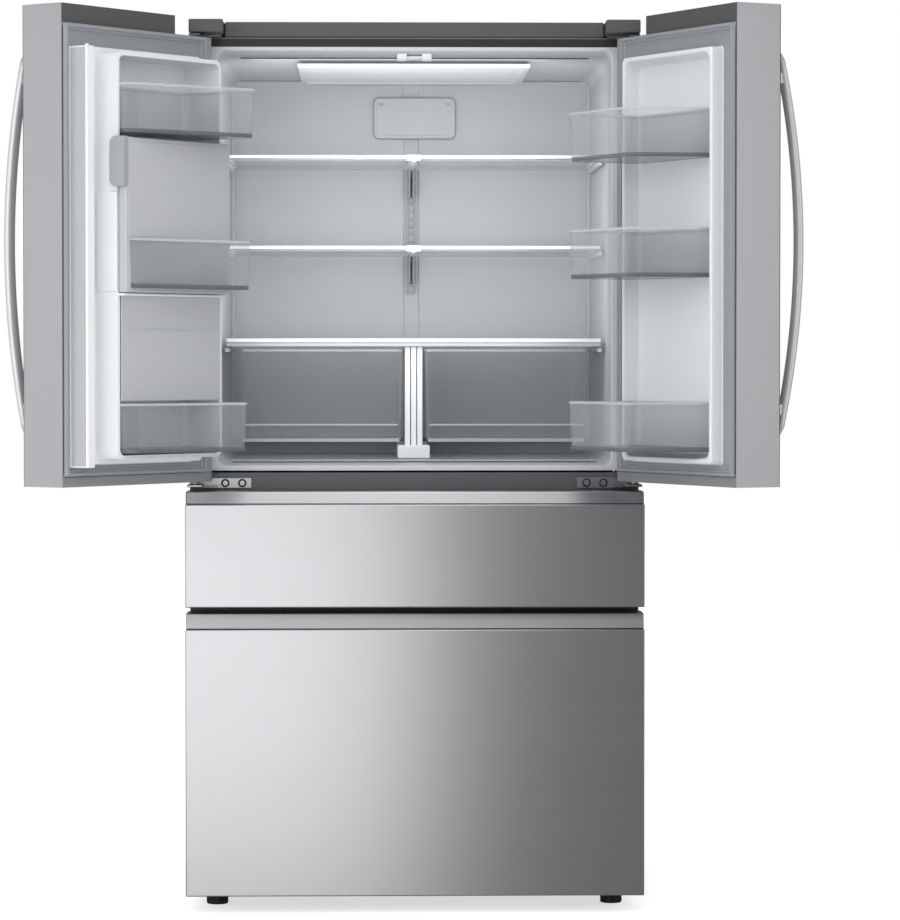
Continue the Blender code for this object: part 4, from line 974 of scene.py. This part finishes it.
def door_liner(side):
    a0, a1, z0, z1 = DIKE
    top, w = INNER + DIKE_HIGH, DIKE_WALL
    rings = [door_ring(side, EDGE_HINGE + 2.2, EDGE_FREE - 2.2, LINER_LOW + 0.3, CAP_LOW - 0.8,
                       INNER, 2),
             door_ring(side, a0, a1, z0, z1, INNER, 9),
             door_ring(side, a0 + 1, a1 - 1, z0 + 1, z1 - 1, top, 11)]
    if side == "left":
        wall_free, high = 367.0, INNER + 78
        rings += [door_ring(side, a0 + 2, wall_free, z0 + w, z1 - w, top, 16),
                  door_ring(side, a0 + 3, wall_free - 1, z0 + w + 1, z1 - w - 1, high, 16),
                  door_ring(side, a0 + w, wall_free - w, z0 + 2 * w, z1 - 2 * w, high, 12),
                  door_ring(side, a0 + w, wall_free - w, z0 + 2 * w, z1 - 2 * w, INNER - POCKET, 10)]
    else:
        rings += [door_ring(side, a0 + w + 1, a1 - w - 1, z0 + w + 1, z1 - w - 1, top, 20),
                  door_ring(side, a0 + w, a1 - w - 12, z0 + 2 * w, z1 - 2 * w, INNER - POCKET, 16)]
    moulding(f"door_{side}_inner_liner", rings, 2.6, DOORS[side], white_abs, f"door_{side}",
             (f"door_{side}_liner",), 3.4, inward=True, segments=4)


# Round the liner lies a flat grey inner frame, with the seal pressed in along its outer edge.
frame_grey = grained("satin_grey_hips", "#94979B", 0.42, 1.2, 0.01, 0.02)
for side in ("left", "right"):
    door_liner(side)
    bm = bmesh.new()
    a0, a1, z0, z1 = DIKE
    outer, inner = ([bm.verts.new(p) for p in reversed(door_ring(side, *edges))] for edges in
                    ((EDGE_HINGE + 1.6, EDGE_FREE - 1.6, LINER_LOW + 0.3, CAP_LOW - 0.6,
                      INNER + 0.9, 2),
                     (a0 - 2, a1 + 2, z0 - 2, z1 + 2, INNER + 0.9, 10)))
    for i in range(len(outer)):
        j = (i + 1) % len(outer)
        bm.faces.new((outer[i], outer[j], inner[j], inner[i]))
    walled(piece(f"door_{side}_inner_frame", bm, DOORS[side], frame_grey, f"door_{side}"), 0.7)
    # A dark bar along the free edge, between the seal and the steel: painted shadow of the seal's groove.
    x0, x1 = span(side, EDGE_FREE - 3.4, EDGE_FREE - 1.9)
    bar(f"door_{side}_seal_groove_painted_shadow", [((x0, INNER + 0.4, LINER_LOW + 6), (x1, INNER + 1.3, CAP_LOW - 8))],
        DOORS[side], dark_grey_and_shade, f"door_{side}", 0.2, 1)
    x0, x1 = span(side, 12.0, EDGE_FREE - 3.6)
    seal(f"door_{side}_seal", x0, x1, LINER_LOW + 1, CAP_LOW - 2, INNER + 0.9, 8.4, DOORS[side],
         f"door_{side}", -1, 12.0, (f"door_{side}_gasket",))

# ---- handles -----------------------------------------------------------------------------------
# A bowed, satin polished bar on two posts, each held by a small set screw at its side.
handle_look = grained("satin_anodised_aluminium", "#EDEDEF", 0.40, 1.5, 0.006, 0.03, metallic=0.6)
HANDLE_LOW, HANDLE_HIGH = 958.0, 1693.0
HANDLE_REACH, HANDLE_END, HANDLE_THICK, HANDLE_WIDE = 64.0, 17.0, 15.0, 24.0
POST_IN = 50.0
SECTION = 20


def handle(side):
    sign = 1 if side == "left" else -1
    centre = sign * (EDGE_FREE - 26)
    middle, half = (HANDLE_HIGH + HANDLE_LOW) / 2, (HANDLE_HIGH - HANDLE_LOW) / 2
    steps = 48
    bm = bmesh.new()
    loops = []

    def reach(t):
        return HANDLE_END + (HANDLE_REACH - HANDLE_END) * (1 - t * t)

    for i in range(steps + 1):
        t = 2 * i / steps - 1
        slim = 1.0 - 0.55 * max(0.0, (abs(t) - 0.975) / 0.025) ** 2
        y = OUTER - reach(t) + HANDLE_THICK / 2
        loops.append([bm.verts.new((
            centre + HANDLE_WIDE / 2 * slim * math.copysign(abs(math.cos(a)) ** 0.75, math.cos(a)),
            y + HANDLE_THICK / 2 * slim * math.copysign(abs(math.sin(a)) ** 0.85, math.sin(a)),
            middle + t * half)) for a in (2 * math.pi * k / SECTION for k in range(SECTION))])
    for a, b in zip(loops, loops[1:]):
        for k in range(SECTION):
            j = (k + 1) % SECTION
            bm.faces.new((a[k], a[j], b[j], b[k]))
    bm.faces.new(reversed(loops[0]))
    bm.faces.new(loops[-1])
    bmesh.ops.recalc_face_normals(bm, faces=bm.faces)
    piece(f"handle_{side}_bar", bm, DOORS[side], handle_look, f"door_{side}",
          (f"handle_{side}",), 60)
    t_post = 1 - POST_IN / half
    back = OUTER - reach(t_post) + HANDLE_THICK - 3
    posts = [((centre - 8, back, z - 11), (centre + 8, OUTER - 0.5, z + 11))
             for z in (HANDLE_LOW + POST_IN, HANDLE_HIGH - POST_IN)]
    bar(f"handle_{side}_posts", posts, DOORS[side], handle_look, f"door_{side}",
        3.0, 4)
    screws(f"handle_{side}_set_screws",
           [(centre + sign * 8.4, (back + OUTER) / 2, z)
            for z in (HANDLE_LOW + POST_IN, HANDLE_HIGH - POST_IN)],
           DOORS[side].to_quaternion() @ Vector((sign, 0, 0)), f"door_{side}", DOORS[side],
           2.6, 1.0, 2.4)


for side in ("left", "right"):
    handle(side)

# ---- door bins ---------------------------------------------------------------------------------
# Clear injection-moulded polystyrene. Each bin hooks into the liner's pocket: thin drafted walls,
# a stiff rolled rim that catches the light, its lighter tint partly a painted highlight, and a
# thicker base that looks grey on edge, its darker grey partly painted shade.
def round_plan(points, radius, z, steps=4):
    """A closed plan with its corners rounded off by arcs, at a height."""
    out = []
    count = len(points)
    for i in range(count):
        before, here, after = (Vector((*points[(i + k) % count][:2], 0)) for k in (-1, 0, 1))
        a, b = (before - here).normalized(), (after - here).normalized()
        half = math.acos(max(-1.0, min(1.0, a.dot(b)))) / 2
        cut = min(radius / math.tan(half), (before - here).length * 0.45,
                  (after - here).length * 0.45)
        start, end = here + a * cut, here + b * cut
        for s in range(steps + 1):
            t = s / steps
            point = start * (1 - t) ** 2 + here * (2 * t * (1 - t)) + end * t ** 2
            out.append((point.x, point.y, z))
    return out


def grown_plan(plan, share):
    middle = sum((Vector((*p, 0)) for p in plan), Vector()) / len(plan)
    return [tuple((middle + (Vector((*p, 0)) - middle) * share).xy) for p in plan]


def door_bin(name, plan, low, high, place, body, cad_node):
    """A bin from its rim's plan, anticlockwise from above."""
    moulding(f"{name}_shell",
             (round_plan(plan, 16, high - 1.5), round_plan(grown_plan(plan, 0.965), 14, low + 3)),
             2.4, place, clear_ps, body, (cad_node,), 5.0, in_front=True)
    hoop(f"{name}_rim", round_plan(plan, 16, high - 5), 5, 3.4, place, rim_highlight_ps, body,
         0.3)
    base = [Vector(p) for p in round_plan(grown_plan(plan, 0.972), 14, low + 0.6)]
    hoop(f"{name}_base", base, 8, 3.2, place, edge_shade_ps, body, 0.3)
    bm = bmesh.new()
    rim = [bm.verts.new(p) for p in round_plan(grown_plan(plan, 0.955), 12, low + 1.0)]
    bm.faces.new(rim)
    walled(piece(f"{name}_floor", bm, place, edge_shade_ps, body), 2.2, in_front=True)


BIN_TALL = 96
BIN_FRONT = INNER + 157
POCKET_FLOOR = INNER - POCKET
LEFT_FREE, LEFT_HINGE = 357.0, 58.0
for bin_name, front in (("door_left_top_bin", INNER + 178), ("door_left_bottom_bin", BIN_FRONT)):
    left_plan = [(LEFT_HINGE, POCKET_FLOOR + 2), (LEFT_FREE, POCKET_FLOOR + 2),
                 (LEFT_FREE, INNER + 88), (LEFT_FREE - 15, INNER + 108), (LEFT_HINGE, front)]
    low = on_door("left", bin_name)[0].z
    door_bin(bin_name, left_plan, low, low + BIN_TALL, DOORS["left"], "door_left", bin_name)
RIGHT_FREE = 351.0
right_plan = [(-LEFT_HINGE, POCKET_FLOOR + 2), (-LEFT_HINGE, BIN_FRONT),
              (-RIGHT_FREE + 52, BIN_FRONT), (-RIGHT_FREE, INNER + DIKE_HIGH + 4),
              (-RIGHT_FREE, POCKET_FLOOR + 2)]
for level in ("upper", "middle", "lower"):
    bin_name = f"door_right_{level}_bin"
    low = on_door("right", bin_name)[0].z
    door_bin(bin_name, right_plan, low, low + BIN_TALL, DOORS["right"], "door_right", bin_name)

# ---- ice compartment ---------------------------------------------------------------------------
# A white insulated box in the left door with its own hinged door, a bin on that door and a grey
# squeeze latch at its free edge. Under it a plain moulded panel covers the dispenser's back.
housing_low, housing_high = on_door("left", "ice_housing")
dressed("ice_housing", white_abs, 1.6, 3)
PANEL_LOW, PANEL_HIGH = housing_low.z, 1227.0
GROOVE = 1162.0
panel_grey = grained("satin_pale_grey_abs", "#BEC0C3", 0.34, 1.2, 0.008, 0.012)
panel_columns = [housing_low.x + 1, housing_low.x + 14, housing_low.x + 16, 212,
                 housing_high.x - 24, housing_high.x - 22, housing_high.x - 1]
panel_rows = [PANEL_LOW, PANEL_LOW + 90, GROOVE - 3, GROOVE - 1, GROOVE + 1, GROOVE + 3, 1200, PANEL_HIGH]


def panel_face(x, z):
    """Flat, with one fine groove across it."""
    sunk = abs(z - GROOVE) <= 1 and housing_low.x + 15 < x < housing_high.x - 23
    return housing_high.y + (0.6 if sunk else 2.2)


rounded(relief("ice_lower_panel", panel_columns, panel_rows, panel_face, 2.0, DOORS["left"],
               panel_grey, "door_left", "white_plastic", back=True), 0.8, 2, 50)
WALL_FREE = 367.0
bar("ice_side_cover", [((WALL_FREE - 1, 62, 1234), (WALL_FREE + 3.0, 111, 1424))], DOORS["left"],
    white_abs, "door_left", 1.8, 4)
bar("ice_side_plate", [((WALL_FREE - 1, 66, 1404), (WALL_FREE + 1.2, 96, 1522))], DOORS["left"],
    white_abs, "door_left", 0.8, 3)
bar("ice_compartment_sill", [((housing_low.x + 2, 104, 1226), (WALL_FREE - 2, 127, 1230.5))],
    DOORS["left"], white_abs, "door_left", 1.6, 3)
dressed("ice_bucket", clear_ps, 0.8)

door_low, door_high = on_door("left", "ice_door")
bar("ice_door_slab", [((door_low.x, door_low.y, door_low.z), (door_high.x, door_high.y - 1.2,
                                                               door_high.z))],
    DOORS["left"], panel_grey, "ice_door", 3.2, 4, ("ice_door",))
moulding("ice_door_panel",
         (ring(door_low.x + 7, door_high.x - 7, door_low.z + 7, door_high.z - 7,
               door_high.y - 1.6, 10),
          ring(door_low.x + 9, door_high.x - 9, door_low.z + 9, door_high.z - 9,
               door_high.y - 0.1, 8)),
         1.0, DOORS["left"], panel_grey, "ice_door", (), 0.6, inward=True)
latch_grey = grained("satin_grey_abs", "#A3A6A8", 0.35, 0.8, 0.01, 0.03)
latch = bmesh.new()
LATCH_LOW, LATCH_HIGH, LATCH_CUT = 1434.0, 1529.0, 9.0
LATCH_BACK = 99.0
outline = [(LATCH_BACK, LATCH_LOW + LATCH_CUT), (LATCH_BACK + LATCH_CUT, LATCH_LOW),
           (door_high.y + 2, LATCH_LOW), (door_high.y + 2, LATCH_HIGH),
           (LATCH_BACK + LATCH_CUT, LATCH_HIGH), (LATCH_BACK, LATCH_HIGH - LATCH_CUT)]
sides = [[latch.verts.new((x, y, z)) for y, z in outline] for x in (WALL_FREE + 1.5, WALL_FREE + 9)]
latch.faces.new(sides[0])
latch.faces.new(reversed(sides[1]))
for i in range(len(outline)):
    j = (i + 1) % len(outline)
    latch.faces.new((sides[0][i], sides[0][j], sides[1][j], sides[1][i]))
block(latch, (WALL_FREE - 5, door_high.y + 0.2, LATCH_LOW), (WALL_FREE + 9, door_high.y + 3.2,
                                                           LATCH_HIGH))
bmesh.ops.recalc_face_normals(latch, faces=latch.faces)
rounded(piece("ice_door_latch", latch, DOORS["left"], latch_grey, "ice_door"), 1.8, 3)

ice_bin_low, ice_bin_high = on_door("left", "ice_door_bin")
ice_plan = [(ice_bin_low.x, ice_bin_low.y + 0.3), (ice_bin_high.x, ice_bin_low.y + 0.3),
            (ice_bin_high.x - 14, BIN_FRONT - 49), (ice_bin_low.x, BIN_FRONT)]
door_bin("ice_door_bin", ice_plan, ice_bin_low.z, ice_bin_low.z + BIN_TALL, DOORS["left"],
         "ice_door", "ice_door_bin")
bar("top_pocket_panel", [((206, POCKET_FLOOR - 0.5, 1638), (346, POCKET_FLOOR + 1.4, 1678))],
    DOORS["left"], white_abs, "door_left", 1.0, 3)

# ---- dispenser ---------------------------------------------------------------------------------
# A glossy black recess in the left door's outer face, with a steel bezel, a spout, a paddle that
# swings back when a glass is pushed in, and a drip grille.
gloss_black = grained("gloss_black_abs", "#0E0E10", 0.16, 1.0, 0.004, 0.1)
dressed("dispenser_recess", gloss_black, 1.2, 3)
dressed("dispenser_paddle", trim_grey, 1.4, 3)
bezel = bmesh.new()
for (x0, x1), (z0, z1) in (((GLASS_X[0] - 7, GLASS_X[1] + 7), (GLASS_Z[1] - 1, GLASS_Z[1] + 7)),
                           ((GLASS_X[0] - 7, GLASS_X[1] + 7), (GLASS_Z[0] - 7, GLASS_Z[0] + 1)),
                           ((GLASS_X[0] - 7, GLASS_X[0] + 1), GLASS_Z),
                           ((GLASS_X[1] - 1, GLASS_X[1] + 7), GLASS_Z)):
    block(bezel, (x0, OUTER - 2.2, z0), (x1, OUTER - 0.2, z1))
rounded(piece("dispenser_bezel", bezel, DOORS["left"], strip_steel, "door_left"),
        0.9, 3)
middle_x = sum(GLASS_X) / 2
bar("dispenser_head", [((GLASS_X[0] + 5, OUTER + 4, 1216), (GLASS_X[1] - 5, OUTER + 42, 1294)),
                       ((middle_x - 24, OUTER + 10, 1204), (middle_x + 24, OUTER + 38, 1217))],
    DOORS["left"], gloss_black, "door_left", 4.0, 4)
grille = []
for i in range(11):
    x = GLASS_X[0] + 16 + i * 14.8
    grille.append(((x - 2.2, OUTER + 8, 1040), (x + 2.2, OUTER + 62, 1044)))
for y in (OUTER + 6, OUTER + 60):
    grille.append(((GLASS_X[0] + 10, y, 1038.5), (GLASS_X[1] - 10, y + 4, 1043)))
bar("drip_grille", grille, DOORS["left"], trim_grey, "door_left", 0.8, 2)

# ---- flip bar ----------------------------------------------------------------------------------
# The bar that closes the gap between the doors: a white insulated body with a coated steel face,
# on three thin straps, with a white pin on top that the guide block turns.
bar_low, bar_high = on_door("left", "mullion_bar")
FACE_GREY = grained("coated_bar_steel", "#B4B6B8", 0.38, 1.4, 0.02, 0.03)
BAR_TOP = 1700.0
bar("flip_bar_body",
    [((bar_low.x + 0.2, bar_low.y, bar_low.z), (bar_high.x - 1.8, bar_high.y, BAR_TOP)),
     ((bar_high.x - 4, bar_low.y, bar_low.z - 0.0), (bar_high.x, bar_low.y + 6.5, BAR_TOP)),
     ((bar_high.x - 4, bar_high.y - 6.5, bar_low.z), (bar_high.x, bar_high.y, BAR_TOP))],
    DOORS["left"], white_abs, "flip_bar", 1.2, 3, ("mullion_bar",))
bar("flip_bar_face",
    [((bar_high.x - 2.2, bar_low.y + 7.2, bar_low.z + 3), (bar_high.x - 0.7, bar_high.y - 7.2,
                                                         BAR_TOP - 3))],
    DOORS["left"], FACE_GREY, "flip_bar", 0.5, 2)
pin = bmesh.new()
bmesh.ops.create_cone(pin, cap_ends=True, segments=24, radius1=4, radius2=3.4, depth=6.5,
                      matrix=Matrix.Translation((bar_high.x - 10.5, bar_high.y - 10, 1700.7)))
rounded(piece("flip_bar_pin", pin, DOORS["left"], white_abs, "flip_bar"),
        0.7, 2)
bar("flip_bar_straps",
    [((DIKE[1] - 2, INNER + 0.2, z), (bar_high.x, INNER + 1.3, z + 26))
     for z in (960, 1290, 1610)],
    DOORS["left"], white_abs, "door_left", 0.8, 2)

# ---- feet, rollers and compressor --------------------------------------------------------------
# Screw-in levelling feet at the front, rollers on an axle in a bent bracket at the rear, and the
# black enamelled compressor on its rubber-mounted feet behind the slotted cover.
tread = grained("moulded_black_nylon", "#141415", 0.5, 1.0, 0.02, 0.1)
enamel = grained("black_baked_enamel", "#121213", 0.28, 2.0, 0.01, 0.1)
for side in ("left", "right"):
    dressed(f"front_foot_{side}", tread, 0.8, 3)
    dressed(f"rear_roller_{side}", tread, 1.6, 3)
    low, high = (CABINET.inverted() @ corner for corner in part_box(f"rear_roller_{side}"))
    boxes = []
    for x in (low.x - 3.2, high.x + 1.2):
        boxes.append(((x, low.y + 4, 14), (x + 2, high.y - 4, 40.3)))
    bar(f"roller_bracket_{side}", boxes, CABINET, zinc, "cabinet", 0.5, 2)
    axle = bmesh.new()
    bmesh.ops.create_cone(axle, cap_ends=True, segments=20, radius1=3.5, radius2=3.5,
                          depth=high.x - low.x + 10,
                          matrix=Matrix.Translation(((low.x + high.x) / 2, (low.y + high.y) / 2, 18))
                          @ Matrix.Rotation(math.pi / 2, 4, "Y"))
    rounded(piece(f"roller_axle_{side}", axle, CABINET, zinc, "cabinet"), 0.6, 2)
dressed("compressor", enamel, 1.2, 2)
